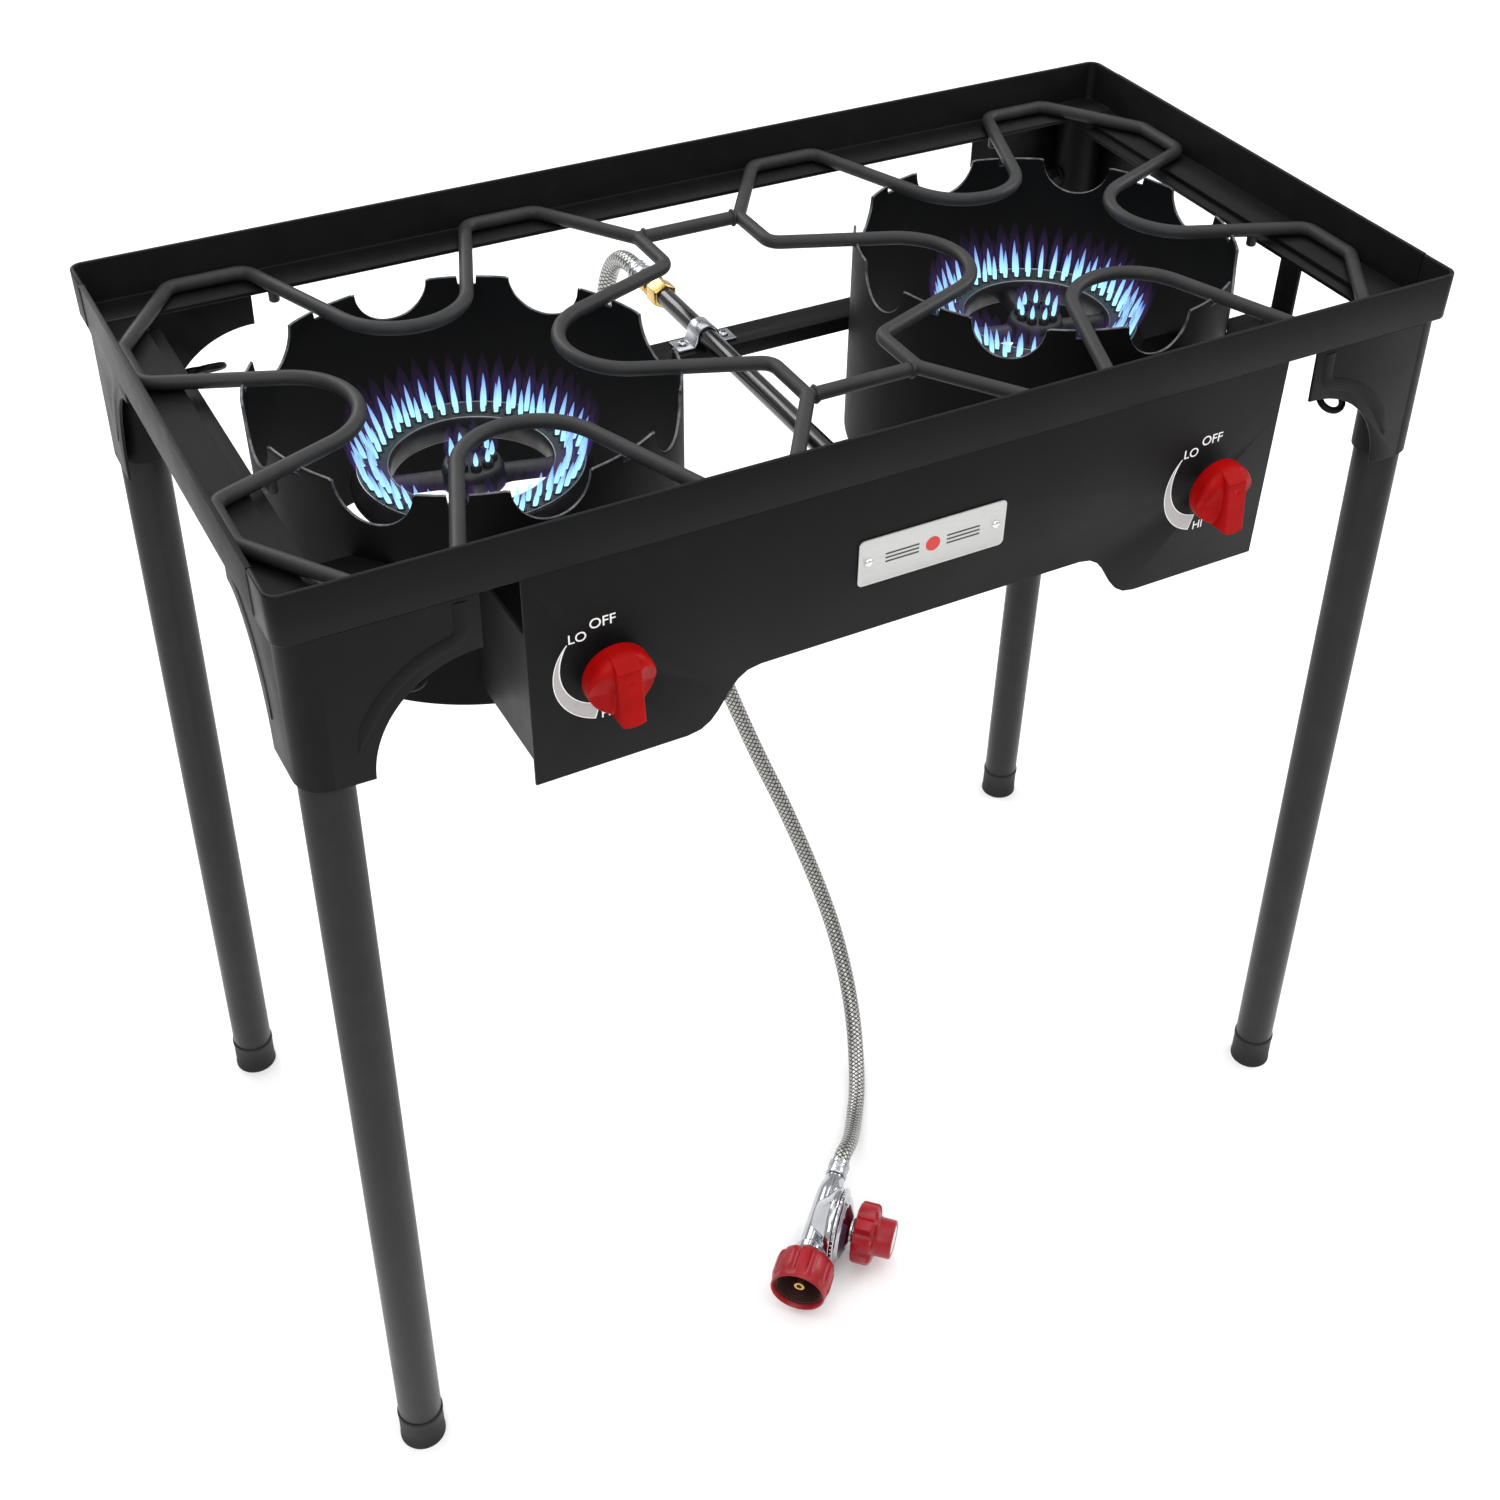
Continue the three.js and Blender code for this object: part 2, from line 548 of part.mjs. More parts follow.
// ---------------------------------------------------------------- gas line under the frame
function buildCrossBar() {
  const bar = join(
    block(-BAR.half, BAR.half, BAR.y0, BAR.y1, BAR.top - BAR.sheet, BAR.top),
    block(-BAR.half, BAR.half, BAR.y0, BAR.y0 + BAR.sheet, BAR.top - BAR.lip, BAR.top),
  );
  const middle = (CLAMP.y0 + CLAMP.y1) / 2;
  const holes = Object.values(sides).map((sign) => {
    const x = sign * CLAMP.screwX;
    return rodBetween([x, middle, BAR.top - 9], [x, middle, BAR.top + 9], CLAMP.screw + GAP, 10);
  });
  const guards = Object.values(sides).map((sign) => guardHole(GAP).translate((sign - 1) * BURNER.x, 0, 0));
  addPiece('cross_bar', toGeometry(cut(bar, ...guards, ...holes)), FINISH.powder);

  const foot = BAR.top + GAP;
  const around = PIPE.radius + GAP;
  const saddle = join(
    block(-CLAMP.half, CLAMP.half, CLAMP.y0, CLAMP.y1, foot, foot + CLAMP.sheet),
    rodBetween([0, CLAMP.y0, PIPE.z], [0, CLAMP.y1, PIPE.z], around + CLAMP.sheet, 20),
  );
  const clamp = cut(
    saddle,
    rodBetween([0, 0, PIPE.z], [0, 200, PIPE.z], around, 20),
    block(-around, around, 0, 200, foot - 9, PIPE.z),
    block(-CLAMP.half, CLAMP.half, 0, 200, foot - 9, foot),
    ...holes,
  );
  addPiece('pipe_clamp', toGeometry(clamp), FINISH.zinc);
  for (const [side, sign] of Object.entries(sides)) {
    const x = sign * CLAMP.screwX;
    const seat = foot + CLAMP.sheet + GAP;
    const screw = join(
      rodBetween([x, middle, seat], [x, middle, seat + 2.4], CLAMP.head, 10),
      rodBetween([x, middle, BAR.top - 9], [x, middle, seat + 1], CLAMP.screw, 8),
    );
    addPiece(`clamp_screw_${side}`, toGeometry(screw), FINISH.zinc);
  }
}

function buildGasLine() {
  const { radius, z, rear, front, manifoldY } = PIPE;
  addPiece('inlet_pipe', rodBetween([0, front, z], [0, rear, z], radius, 16), FINISH.gloss);
  const end = BURNER.x - VALVE.half - GAP;
  addPiece('manifold_pipe', rodBetween([-end, manifoldY, z], [end, manifoldY, z], radius, 16), FINISH.gloss);
  const fitting = join(
    rodBetween([0, rear + GAP, z], [0, FITTING.step + 1, z], FITTING.nut, 6),
    rodBetween([0, FITTING.step, z], [0, FITTING.end, z], FITTING.adapter, 6),
  );
  addPiece('inlet_fitting', toGeometry(fitting), FINISH.brass);
  for (const [side, sign] of Object.entries(sides)) {
    const x = sign * BURNER.x;
    const body = cut(
      join(block(x - VALVE.half, x + VALVE.half, VALVE.y0, VALVE.y1, VALVE.z0, VALVE.z1)),
      rodBetween([x, VALVE.y0 - 1, KNOB.z], [x, VALVE.stemIn + 1, KNOB.z], VALVE.stem + 2 * GAP, 12),
    );
    addPiece(`valve_body_${side}`, toGeometry(body), FINISH.brass);
    const jet = rodBetween([x, VALVE.y1 + GAP, TUBE.z], [x, JET.end, TUBE.z], JET.radius, 12);
    addPiece(`jet_${side}`, jet, FINISH.brass);
  }
}

// ---------------------------------------------------------------- control panel and knobs
function panelOutline() {
  const { half, ear, middle, step0, step1 } = PANEL;
  const top = frameBottom - GAP;
  const reach = (step1 - step0) * 0.55;
  const shape = new THREE.Shape();
  shape.moveTo(-half, top);
  shape.lineTo(-half, ear);
  shape.lineTo(-step1, ear);
  shape.bezierCurveTo(reach - step1, ear, -step0 - reach, middle, -step0, middle);
  shape.lineTo(step0, middle);
  shape.bezierCurveTo(step0 + reach, middle, step1 - reach, ear, step1, ear);
  shape.lineTo(half, ear);
  shape.lineTo(half, top);
  return shape;
}

function buildPanel() {
  const { half, sheet } = PANEL;
  const parts = [upright(panelOutline(), sheet, panelFront)];
  for (const sign of Object.values(sides)) {
    const x = sign * (half - sheet / 2);
    parts.push(block(x - sheet / 2, x + sheet / 2, panelFront, RETURN.y, RETURN.z0, RETURN.z1));
  }
  const tools = Object.values(sides).map((sign) => guardHole(GAP).translate((sign - 1) * BURNER.x, 0, 0));
  for (const sign of Object.values(sides)) {
    const x = sign * BURNER.x;
    tools.push(rodBetween([x, panelFront - 5, KNOB.z], [x, panelFront + 5, KNOB.z], VALVE.stem + 2, 14));
  }
  addPiece('control_panel', toGeometry(cut(join(...parts), ...tools)), FINISH.powder);

  const outline = roundedRectangle(PLATE.halfX, PLATE.halfZ, PLATE.corner);
  const badge = upright(outline, PLATE.sheet, panelFront - PLATE.sheet - GAP).translate(0, 0, PLATE.z);
  addPiece('nameplate', badge, FINISH.plate);
}

function buildKnobs() {
  const back = panelFront - KNOB.gap;
  const skirtFront = back - KNOB.skirtDepth;
  const boreEnd = back - KNOB.boreDepth;
  for (const [side, sign] of Object.entries(sides)) {
    const x = sign * BURNER.x;
    const grip = block(x - KNOB.grip, x + KNOB.grip, knobFront, skirtFront + 1, KNOB.z - KNOB.skirt, KNOB.z + KNOB.skirt);
    const body = cut(
      join(rodBetween([x, skirtFront, KNOB.z], [x, back, KNOB.z], KNOB.skirt, 28), grip),
      rodBetween([x, boreEnd, KNOB.z], [x, back + 1, KNOB.z], VALVE.stem + GAP, 12),
    );
    addPiece(`control_knob_${side}`, toGeometry(body), FINISH.red);
    const stem = rodBetween([x, boreEnd + GAP, KNOB.z], [x, VALVE.stemIn, KNOB.z], VALVE.stem, 12);
    addPiece(`valve_stem_${side}`, stem, FINISH.brass);
  }
}

// ---------------------------------------------------------------- hose and regulator
function buildHose() {
  const curve = new THREE.CatmullRomCurve3(hoseRoute.map((p) => new THREE.Vector3(...p)), false, 'centripetal');
  const tube = new THREE.ExtrudeGeometry(
    roundSection(HOSE.radius, HOSE.sides),
    { steps: HOSE.steps, extrudePath: curve },
  );
  addPiece('gas_hose', tube, FINISH.braid);
  const ferrule = rodBetween([0, FITTING.end + GAP, PIPE.z], [0, HOSE.start - GAP, PIPE.z], HOSE.ferrule, 14);
  addPiece('hose_ferrule_inlet', ferrule, FINISH.zinc);
}

// A round grip with a lobed edge, extruded along +x from its own origin.
function lobedGrip(radius, lobes, dip, length) {
  const points = [];
  const steps = lobes * 4;
  for (let i = 0; i < steps; i += 1) {
    const angle = (i / steps) * 4 * QUARTER;
    const r = i % 4 < 2 ? radius : radius - dip;
    points.push([r * Math.cos(angle), r * Math.sin(angle)]);
  }
  return plate(points, length).rotateY(QUARTER);
}

// Drawn with the gas flowing along +x to the tank nut and the adjusting knob facing +y.
function buildRegulator() {
  const regulator = new THREE.Group();
  regulator.position.set(REG.x, REG.y, REG.z);
  regulator.rotation.z = -1.5 * QUARTER;
  stand.add(regulator);
  const flow = REG.flow;
  const end = TANK.start - 1;

  addPiece('hose_ferrule_regulator', rodBetween([-61.5, flow, 0], [-46.3, flow, 0], HOSE.ferrule, 14), FINISH.zinc, regulator);
  const body = join(
    rodBetween([-46, flow, 0], [-28, flow, 0], 8.5, 16, 11),
    rodBetween([-29, flow, 0], [end, flow, 0], 11, 16),
    rodBetween([0, flow - 6, 0], [0, -1, 0], 17, 24, REG.disc),
    rodBetween([0, -2, 0], [0, 4, 0], REG.disc, 24),
  );
  addPiece('regulator_body', toGeometry(body), FINISH.chrome, regulator);
  const bonnet = join(
    rodBetween([0, 4 + GAP, 0], [0, 8, 0], REG.disc, 24, REG.disc - 2),
    rodBetween([0, 7, 0], [0, 15, 0], REG.disc - 6, 24, REG.neck + 4),
    rodBetween([0, 14, 0], [0, 19, 0], REG.neck, 16),
  );
  addPiece('regulator_bonnet', toGeometry(bonnet), FINISH.chrome, regulator);
  const knob = join(
    lobedGrip(REG.knob, 8, 4, 18).rotateZ(QUARTER).translate(0, 19 + GAP, 0),
    rodBetween([0, 37, 0], [0, 52, 0], REG.cap, 20),
  );
  addPiece('regulator_knob', toGeometry(knob), FINISH.darkRed, regulator);

  const { start, back, mouth, outer, bore, nipple, tip } = TANK;
  const nut = cut(
    join(lobedGrip(outer, 10, 2.2, mouth - start).translate(start, 0, 0)),
    rodBetween([back, 0, 0], [mouth + 1, 0, 0], bore, 24),
    rodBetween([start - 1, 0, 0], [back + 1, 0, 0], nipple + 2 * GAP, 16),
  );
  addPiece('tank_nut', toGeometry(nut).translate(0, flow, 0), FINISH.darkRed, regulator);
  const brass = join(
    rodBetween([end + GAP, flow, 0], [mouth - 15, flow, 0], nipple, 14),
    rodBetween([mouth - 16, flow, 0], [mouth - 6, flow, 0], tip, 12),
  );
  addPiece('tank_nipple', toGeometry(brass), FINISH.brass, regulator);
}

buildFrame();
buildSideStrips();
buildLegs();
buildPotRack();
buildGuards();
buildBurners();
buildCrossBar();
buildGasLine();
buildPanel();
buildKnobs();
buildHose();
buildRegulator();

export default stand;
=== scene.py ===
"""The look of the two-burner propane stand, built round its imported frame.

Drawing sizes are in millimetres from the middle of the rim, at ground level; at() turns a
drawn point into a place in the frame, whose origin lies a little behind the rim's middle.
"""

import random
from math import atan2, cos, hypot, pi, radians, sin, tan

import bmesh
import bpy
from mathutils import Matrix, Vector


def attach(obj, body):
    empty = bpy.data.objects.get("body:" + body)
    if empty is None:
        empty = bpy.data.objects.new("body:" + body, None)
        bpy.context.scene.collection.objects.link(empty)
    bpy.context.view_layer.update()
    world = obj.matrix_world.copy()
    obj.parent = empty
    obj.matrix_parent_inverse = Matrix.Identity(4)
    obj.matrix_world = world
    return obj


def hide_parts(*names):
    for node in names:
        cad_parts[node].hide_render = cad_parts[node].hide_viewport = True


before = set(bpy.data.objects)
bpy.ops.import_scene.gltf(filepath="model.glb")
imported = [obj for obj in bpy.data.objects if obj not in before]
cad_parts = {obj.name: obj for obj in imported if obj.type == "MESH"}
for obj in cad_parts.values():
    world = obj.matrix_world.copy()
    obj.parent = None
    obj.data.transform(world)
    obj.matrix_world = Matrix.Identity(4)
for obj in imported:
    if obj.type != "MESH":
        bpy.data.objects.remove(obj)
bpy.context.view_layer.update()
scene = bpy.context.scene
random.seed(7)
scene.view_settings.view_transform = "Standard"

MM = 0.001
SHIFT_Y = 6.5
CORNERS = {"fl": (-1, -1), "fr": (1, -1), "bl": (-1, 1), "br": (1, 1)}
CORNER_BODY = {"fl": "front_left", "fr": "front_right", "bl": "back_left", "br": "back_right"}
SIDES = {"left": -1, "right": 1}

# Millimetres, as in the frame's own drawing.
BURNER_X = 217.5
RAIL_BOTTOM, RIM_TOP = 744, 776
FOOT_X, FOOT_Y, SPLAY_X, SPLAY_Y = 401, 208, 18, 22
SLEEVE, GUSSET_LOW, GUSSET_SHEET, EYE_Z = 18.3, 642, 2, 693
PANEL_FRONT = -205
KNOB_Z, BADGE_Z = 667, 686
ROD, ROD_Z, RACK_Y = 4.75, 752.05, 4
GUARD_RADIUS, GUARD_BOTTOM, GUARD_TOP = 135, 600, 752
SCALLOP, SCALLOP_LIP = 25, 2.5
BURNER_TOP, TUBE_Z = 692, 655
RING_PORTS, HUB_PORTS, HUB_PORT_CIRCLE = 44, 9, 12.6
PIPE_Z, PIPE_RADIUS = 680, 7
HOSE_RADIUS, FERRULE_RADIUS = 7, 8.7


def at(x, y, z):
    return Vector((x, y + SHIFT_Y, z)) * MM


# ---------------------------------------------------------------- camera
def add_camera():
    yaw, pitch, roll = radians(30.2726), radians(40.5444), radians(1.8987)
    forward = Vector((sin(yaw) * cos(pitch), cos(yaw) * cos(pitch), -sin(pitch)))
    level = forward.cross(Vector((0, 0, 1))).normalized()
    lift = level.cross(forward)
    right = level * cos(roll) + lift * sin(roll)
    up = lift * cos(roll) - level * sin(roll)
    data = bpy.data.cameras.new("camera")
    data.sensor_width = 36
    data.lens = 46.835
    data.shift_x = -0.0271
    data.shift_y = 0.0057
    data.clip_end = 50
    camera = bpy.data.objects.new("camera", data)
    scene.collection.objects.link(camera)
    turn = Matrix((right, up, -forward)).transposed().to_4x4()
    camera.matrix_world = Matrix.Translation(at(-573.2, -1023.9, 1360.3)) @ turn
    scene.camera = camera


add_camera()


# ---------------------------------------------------------------- materials
class Nodes:
    """A material under construction: a Principled shader and short ways to feed it."""

    def __init__(self, name):
        self.material = bpy.data.materials.new(name)
        self.material.use_nodes = True
        self.tree = self.material.node_tree
        self.shader = self.tree.nodes["Principled BSDF"]
        self.output = self.tree.nodes["Material Output"]
        self.place = self.add("ShaderNodeTexCoord").outputs["Object"]

    def add(self, kind, **settings):
        node = self.tree.nodes.new(kind)
        for key, value in settings.items():
            setattr(node, key, value)
        return node

    def link(self, source, target):
        self.tree.links.new(source, target)

    def feed(self, socket, value):
        if isinstance(value, bpy.types.NodeSocket):
            self.link(value, socket)
        else:
            socket.default_value = value

    def noise(self, scale, detail=3.0, rough=0.55, stretch=None):
        place = self.place
        if stretch:
            mapping = self.add("ShaderNodeMapping")
            mapping.inputs["Scale"].default_value = stretch
            self.link(place, mapping.inputs["Vector"])
            place = mapping.outputs["Vector"]
        node = self.add("ShaderNodeTexNoise")
        self.link(place, node.inputs["Vector"])
        node.inputs["Scale"].default_value = scale
        node.inputs["Detail"].default_value = detail
        node.inputs["Roughness"].default_value = rough
        return node.outputs["Fac"]

    def remap(self, value, low, high, to_low=0.0, to_high=1.0):
        node = self.add("ShaderNodeMapRange")
        self.link(value, node.inputs["Value"])
        for key, number in (("From Min", low), ("From Max", high), ("To Min", to_low), ("To Max", to_high)):
            node.inputs[key].default_value = number
        return node.outputs["Result"]

    def math(self, operation, a, b=0.0, c=0.0):
        node = self.add("ShaderNodeMath", operation=operation)
        for socket, value in zip(node.inputs, (a, b, c)):
            self.feed(socket, value)
        return node.outputs["Value"]

    def mix(self, share, first, second):
        node = self.add("ShaderNodeMix", data_type="RGBA")
        self.feed(node.inputs["Factor"], share)
        self.feed(node.inputs["A"], first)
        self.feed(node.inputs["B"], second)
        return node.outputs["Result"]

    def bump(self, height, distance, strength=1.0):
        node = self.add("ShaderNodeBump")
        node.inputs["Distance"].default_value = distance
        node.inputs["Strength"].default_value = strength
        self.link(height, node.inputs["Height"])
        self.link(node.outputs["Normal"], self.shader.inputs["Normal"])

    def set(self, **values):
        names = {"color": "Base Color", "rough": "Roughness", "metal": "Metallic", "coat": "Coat Weight",
                 "coat_rough": "Coat Roughness", "specular": "Specular IOR Level"}
        for key, value in values.items():
            self.feed(self.shader.inputs[names[key]], value)
        return self


def powder_coat(name, base, rough, grain=1.0, shine=0.15):
    """Baked powder paint: a fine pebbled skin whose gloss drifts slowly over the part."""
    n = Nodes(name)
    drift = n.noise(9, 2)
    dust = n.remap(n.noise(55, 5, 0.65), 0.45, 0.8)
    dark = (base * 0.86, base * 0.87, base * 0.92, 1)
    light = (base * 1.5, base * 1.5, base * 1.6, 1)
    n.set(color=n.mix(n.math("MULTIPLY", dust, 0.55), dark, light))
    gloss = n.math("ADD", drift, n.math("MULTIPLY", dust, 0.25))
    n.set(rough=n.remap(gloss, 0.3, 0.85, rough - 0.05, rough + 0.09))
    n.set(specular=shine)
    pebble = n.noise(1500, 2, 0.5)
    n.bump(pebble, 0.00005 * grain, 0.5)
    return n.material


def edge_glint_and_rub(name):
    """The cut edge of the painted sheet: a lighter grey that is partly a rubbed thin coat and partly a
    painted highlight standing in for the edge's glint.
    """
    n = Nodes(name)
    rub_and_glint = n.remap(n.noise(140, 4, 0.6), 0.35, 0.7)
    n.set(color=n.mix(rub_and_glint, (0.02, 0.021, 0.024, 1), (0.13, 0.135, 0.145, 1)), rough=0.38, metal=0.3)
    n.bump(n.noise(900, 2), 0.00005, 0.5)
    return n.material


def cast_iron(name):
    """Sand-cast iron under black stove paint, with the sand's grain still showing."""
    n = Nodes(name)
    rust = n.remap(n.noise(38, 5, 0.7), 0.62, 0.86)
    n.set(color=n.mix(n.math("MULTIPLY", rust, 0.6), (0.014, 0.014, 0.016, 1), (0.05, 0.036, 0.03, 1)))
    n.set(rough=n.remap(n.noise(70, 3), 0.3, 0.75, 0.34, 0.58), metal=0.35)
    grain = n.math("ADD", n.noise(420, 4, 0.7), n.math("MULTIPLY", n.noise(110, 2), 0.6))
    n.bump(grain, 0.00022, 0.7)
    return n.material


def metal(name, color, rough, swing=0.06, grain=700, depth=0.00002):
    """Plain metal with faint handling marks."""
    n = Nodes(name)
    marks = n.noise(grain, 4, 0.6)
    smear = n.noise(45, 4, 0.6)
    deep = tuple(c * 0.8 for c in color[:3]) + (1,)
    n.set(color=n.mix(n.remap(smear, 0.3, 0.75), deep, color), metal=1.0)
    n.set(rough=n.remap(n.math("ADD", n.math("MULTIPLY", marks, 0.5), n.math("MULTIPLY", smear, 0.5)),
                        0.3, 0.7, rough - swing, rough + swing))
    n.bump(marks, depth, 0.6)
    return n.material


def plastic(name, color, rough, coat=0.3, shine=0.28):
    """Moulded plastic: even colour with slight flow marks and a fine skin."""
    n = Nodes(name)
    flow = n.noise(60, 3, 0.5)
    deep = tuple(c * 0.78 for c in color[:3]) + (1,)
    n.set(color=n.mix(n.remap(flow, 0.35, 0.7), color, deep))
    n.set(rough=n.remap(flow, 0.3, 0.7, rough - 0.04, rough + 0.05))
    n.set(coat=coat, coat_rough=0.15, specular=shine)
    n.bump(n.noise(1300, 2), 0.00003, 0.4)
    return n.material


def braid(name):
    """Woven wire over the hose. The mesh's UV runs once round in u and in metres along v."""
    n = Nodes(name)
    uv = n.add("ShaderNodeSeparateXYZ")
    n.link(n.add("ShaderNodeTexCoord").outputs["UV"], uv.inputs["Vector"])
    around, along = uv.outputs["X"], uv.outputs["Y"]
    pitch, carriers = 0.034, 8

    def wave(direction, count):
        wound = n.math("MULTIPLY", along, 1 / pitch * carriers)
        wound = n.math("MULTIPLY_ADD", around, carriers * direction, wound)
        return n.math("SINE", n.math("MULTIPLY", wound, 2 * pi * count))

    left, right = wave(1, 1), wave(-1, 1)
    fine = n.math("ADD", wave(1, 5), wave(-1, 5))
    over = n.math("MAXIMUM", left, right)
    under = n.math("MINIMUM", left, right)
    cloth = n.math("ADD", over, n.math("MULTIPLY", fine, 0.22))
    # The gaps between the strands are coloured near black: painted shade where the wires dip under one
    # another.
    gap = n.remap(under, -1.0, -0.2)
    n.set(color=n.mix(gap, (0.03, 0.029, 0.027, 1), (0.46, 0.455, 0.44, 1)), metal=1.0)
    n.set(rough=n.remap(cloth, -0.6, 1.3, 0.26, 0.10))
    n.bump(cloth, 0.00018, 0.5)
    return n.material


def printed(name, color, rough=0.45):
    n = Nodes(name)
    wear = n.remap(n.noise(260, 4, 0.6), 0.62, 0.85)
    worn = tuple(c * 0.72 for c in color[:3]) + (1,)
    n.set(color=n.mix(wear, color, worn), rough=rough)
    return n.material


def badge_metal(name):
    n = Nodes(name)
    lines = n.noise(120, 3, 0.6, stretch=(1, 1, 60))
    n.set(color=n.mix(n.remap(lines, 0.3, 0.7), (0.44, 0.44, 0.43, 1), (0.6, 0.6, 0.585, 1)), metal=0.65)
    n.set(rough=n.remap(lines, 0.3, 0.7, 0.36, 0.48))
    n.bump(lines, 0.00002, 0.5)
    return n.material


def flame_material(name, low, high, strength, height, clear_range):
    """A flame's glow, fading upwards from the port it stands on."""
    n = Nodes(name)
    n.tree.nodes.remove(n.shader)
    split = n.add("ShaderNodeSeparateXYZ")
    n.link(n.place, split.inputs["Vector"])
    rise = n.remap(split.outputs["Z"], BURNER_TOP * MM, (BURNER_TOP + height) * MM)
    glow = n.add("ShaderNodeEmission")
    n.link(n.mix(rise, low, high), glow.inputs["Color"])
    glow.inputs["Strength"].default_value = strength
    clear = n.add("ShaderNodeBsdfTransparent")
    blend = n.add("ShaderNodeMixShader")
    n.link(n.remap(rise, 0.0, 1.0, *clear_range), blend.inputs["Fac"])
    n.link(glow.outputs["Emission"], blend.inputs[1])
    n.link(clear.outputs["BSDF"], blend.inputs[2])
    n.link(blend.outputs["Shader"], n.output.inputs["Surface"])
    return n.material


POWDER = powder_coat("powder_coat", 0.0048, 0.46, shine=0.11)
PANEL_POWDER = powder_coat("panel_powder_coat", 0.005, 0.5, shine=0.12)
# A darker copy of the powder coat for the wind guards: painted shade standing in for the shade inside the
# guard.
GUARD_SHADED_COAT = powder_coat("guard_coat_painted_shade", 0.0035, 0.55, shine=0.07)
LEG_COAT = powder_coat("leg_coat", 0.014, 0.36, shine=0.22)
ROD_COAT = powder_coat("rod_coat", 0.024, 0.5, grain=2.5, shine=0.22)
# Lighter grey for the guards' cut edges, partly a painted highlight.
EDGE_GLINT = edge_glint_and_rub("sheet_edge_painted_highlight")
WELD = powder_coat("painted_weld", 0.012, 0.38, grain=1.5)
IRON = cast_iron("cast_iron")
# Near-black painted shade for the depths of the burner ports and the screw-head recess.
RECESS_SHADE = printed("burner_port_painted_shade", (0.004, 0.004, 0.004, 1), 0.8)
GLOSS_BLACK = powder_coat("gloss_pipe", 0.006, 0.15, grain=0.3, shine=0.6)
BRASS = metal("brass", (0.62, 0.42, 0.15, 1), 0.25)
ZINC = metal("zinc", (0.47, 0.485, 0.51, 1), 0.27)
STEEL_EDGE = metal("steel_edge", (0.22, 0.22, 0.225, 1), 0.3)
THREAD = printed("thread", (0.035, 0.008, 0.006, 1), 0.5)
CHROME = metal("chrome", (0.50, 0.51, 0.54, 1), 0.12, swing=0.05, grain=300, depth=0.00005)
BADGE = badge_metal("badge")
DIAL_GREY = printed("dial_grey", (0.40, 0.39, 0.385, 1), 0.4)
RIVET = metal("rivet", (0.8, 0.8, 0.8, 1), 0.2)
SILVER_PRINT = printed("silver_print", (0.62, 0.62, 0.63, 1), 0.4)
WHITE_PRINT = printed("white_print", (0.86, 0.86, 0.86, 1), 0.45)
ENGRAVED = printed("engraved", (0.03, 0.03, 0.03, 1), 0.5)
RED_ENAMEL = printed("red_enamel", (0.55, 0.02, 0.02, 1), 0.35)
DARK_LABEL = printed("dark_label", (0.055, 0.03, 0.055, 1), 0.3)
KNOB_RED = plastic("knob_red", (0.35, 0.0016, 0.0016, 1), 0.42, coat=0.0, shine=0.08)
NUT_RED = plastic("nut_red", (0.30, 0.003, 0.010, 1), 0.36, coat=0.06)
RUBBER = plastic("rubber", (0.010, 0.010, 0.011, 1), 0.6, coat=0.0)
BRAID = braid("steel_braid")
CYAN, BLUE = (0.42, 0.93, 1.0, 1), (0.22, 0.36, 1.0, 1)
VIOLET, PURPLE = (0.17, 0.12, 0.66, 1), (0.38, 0.16, 0.60, 1)
FLAME_CORE = flame_material("flame_core", CYAN, BLUE, 1.6, 21, (0.15, 0.8))
FLAME_HALO = flame_material("flame_halo", VIOLET, PURPLE, 0.6, 36, (0.92, 1.0))


# ---------------------------------------------------------------- mesh helpers
def turns(count, start=0.0, sweep=2 * pi):
    return [start + sweep * i / count for i in range(count)]


def axes_round(axis):
    axis = Vector(axis).normalized()
    side = Vector((0, 0, 1)) if abs(axis.z) < 0.9 else Vector((1, 0, 0))
    u = side.cross(axis).normalized()
    return u, axis.cross(u), axis


def loft(bm, rings, wrap=False, caps=(True, True), slot=0):
    """Joins rings of equal length with quads, and closes the two ends."""
    made = [[bm.verts.new(point) for point in ring] for ring in rings]
    pairs = list(zip(made, made[1:]))
    if wrap:
        pairs.append((made[-1], made[0]))
    for lower, upper in pairs:
        count = len(lower)
        for i in range(count):
            j = (i + 1) % count
            face = bm.faces.new((lower[i], lower[j], upper[j], upper[i]))
            face.material_index = slot
    if not wrap:
        if caps[0]:
            bm.faces.new(list(reversed(made[0]))).material_index = slot
        if caps[1]:
            bm.faces.new(made[-1]).material_index = slot
    return made


def lathe(bm, origin, axis, profile, count=48, wrap=False, start=0.0, open_ends=False):
    """Turns a profile of (radius, distance along the axis) in millimetres."""
    u, v, w = axes_round(axis)
    rings = []
    for radius, along in profile:
        centre = origin + w * (along * MM)
        rings.append([centre + (u * cos(t) + v * sin(t)) * (radius * MM) for t in turns(count, start)])
    caps = (profile[0][0] > 0 and not open_ends, profile[-1][0] > 0 and not open_ends)
    return loft(bm, rings, wrap=wrap, caps=caps)


def tube(bm, points, radius, count=12, closed=False, up=None):
    """A round section swept along points; radius is one number or one per point, in metres."""
    radii = radius if isinstance(radius, (list, tuple)) else [radius] * len(points)
    normal = up.copy() if up else None
    rings = []
    last = len(points) - 1
    for i, point in enumerate(points):
        before = points[i - 1] if i or closed else point
        after = points[(i + 1) % len(points)] if i < last or closed else point
        tangent = (after - before).normalized()
        if normal is None:
            normal = tangent.orthogonal()
        normal = (normal - tangent * normal.dot(tangent)).normalized()
        side = tangent.cross(normal)
        rings.append([point + (normal * cos(t) + side * sin(t)) * radii[i] for t in turns(count)])
    return loft(bm, rings, wrap=closed, caps=(not closed, not closed))


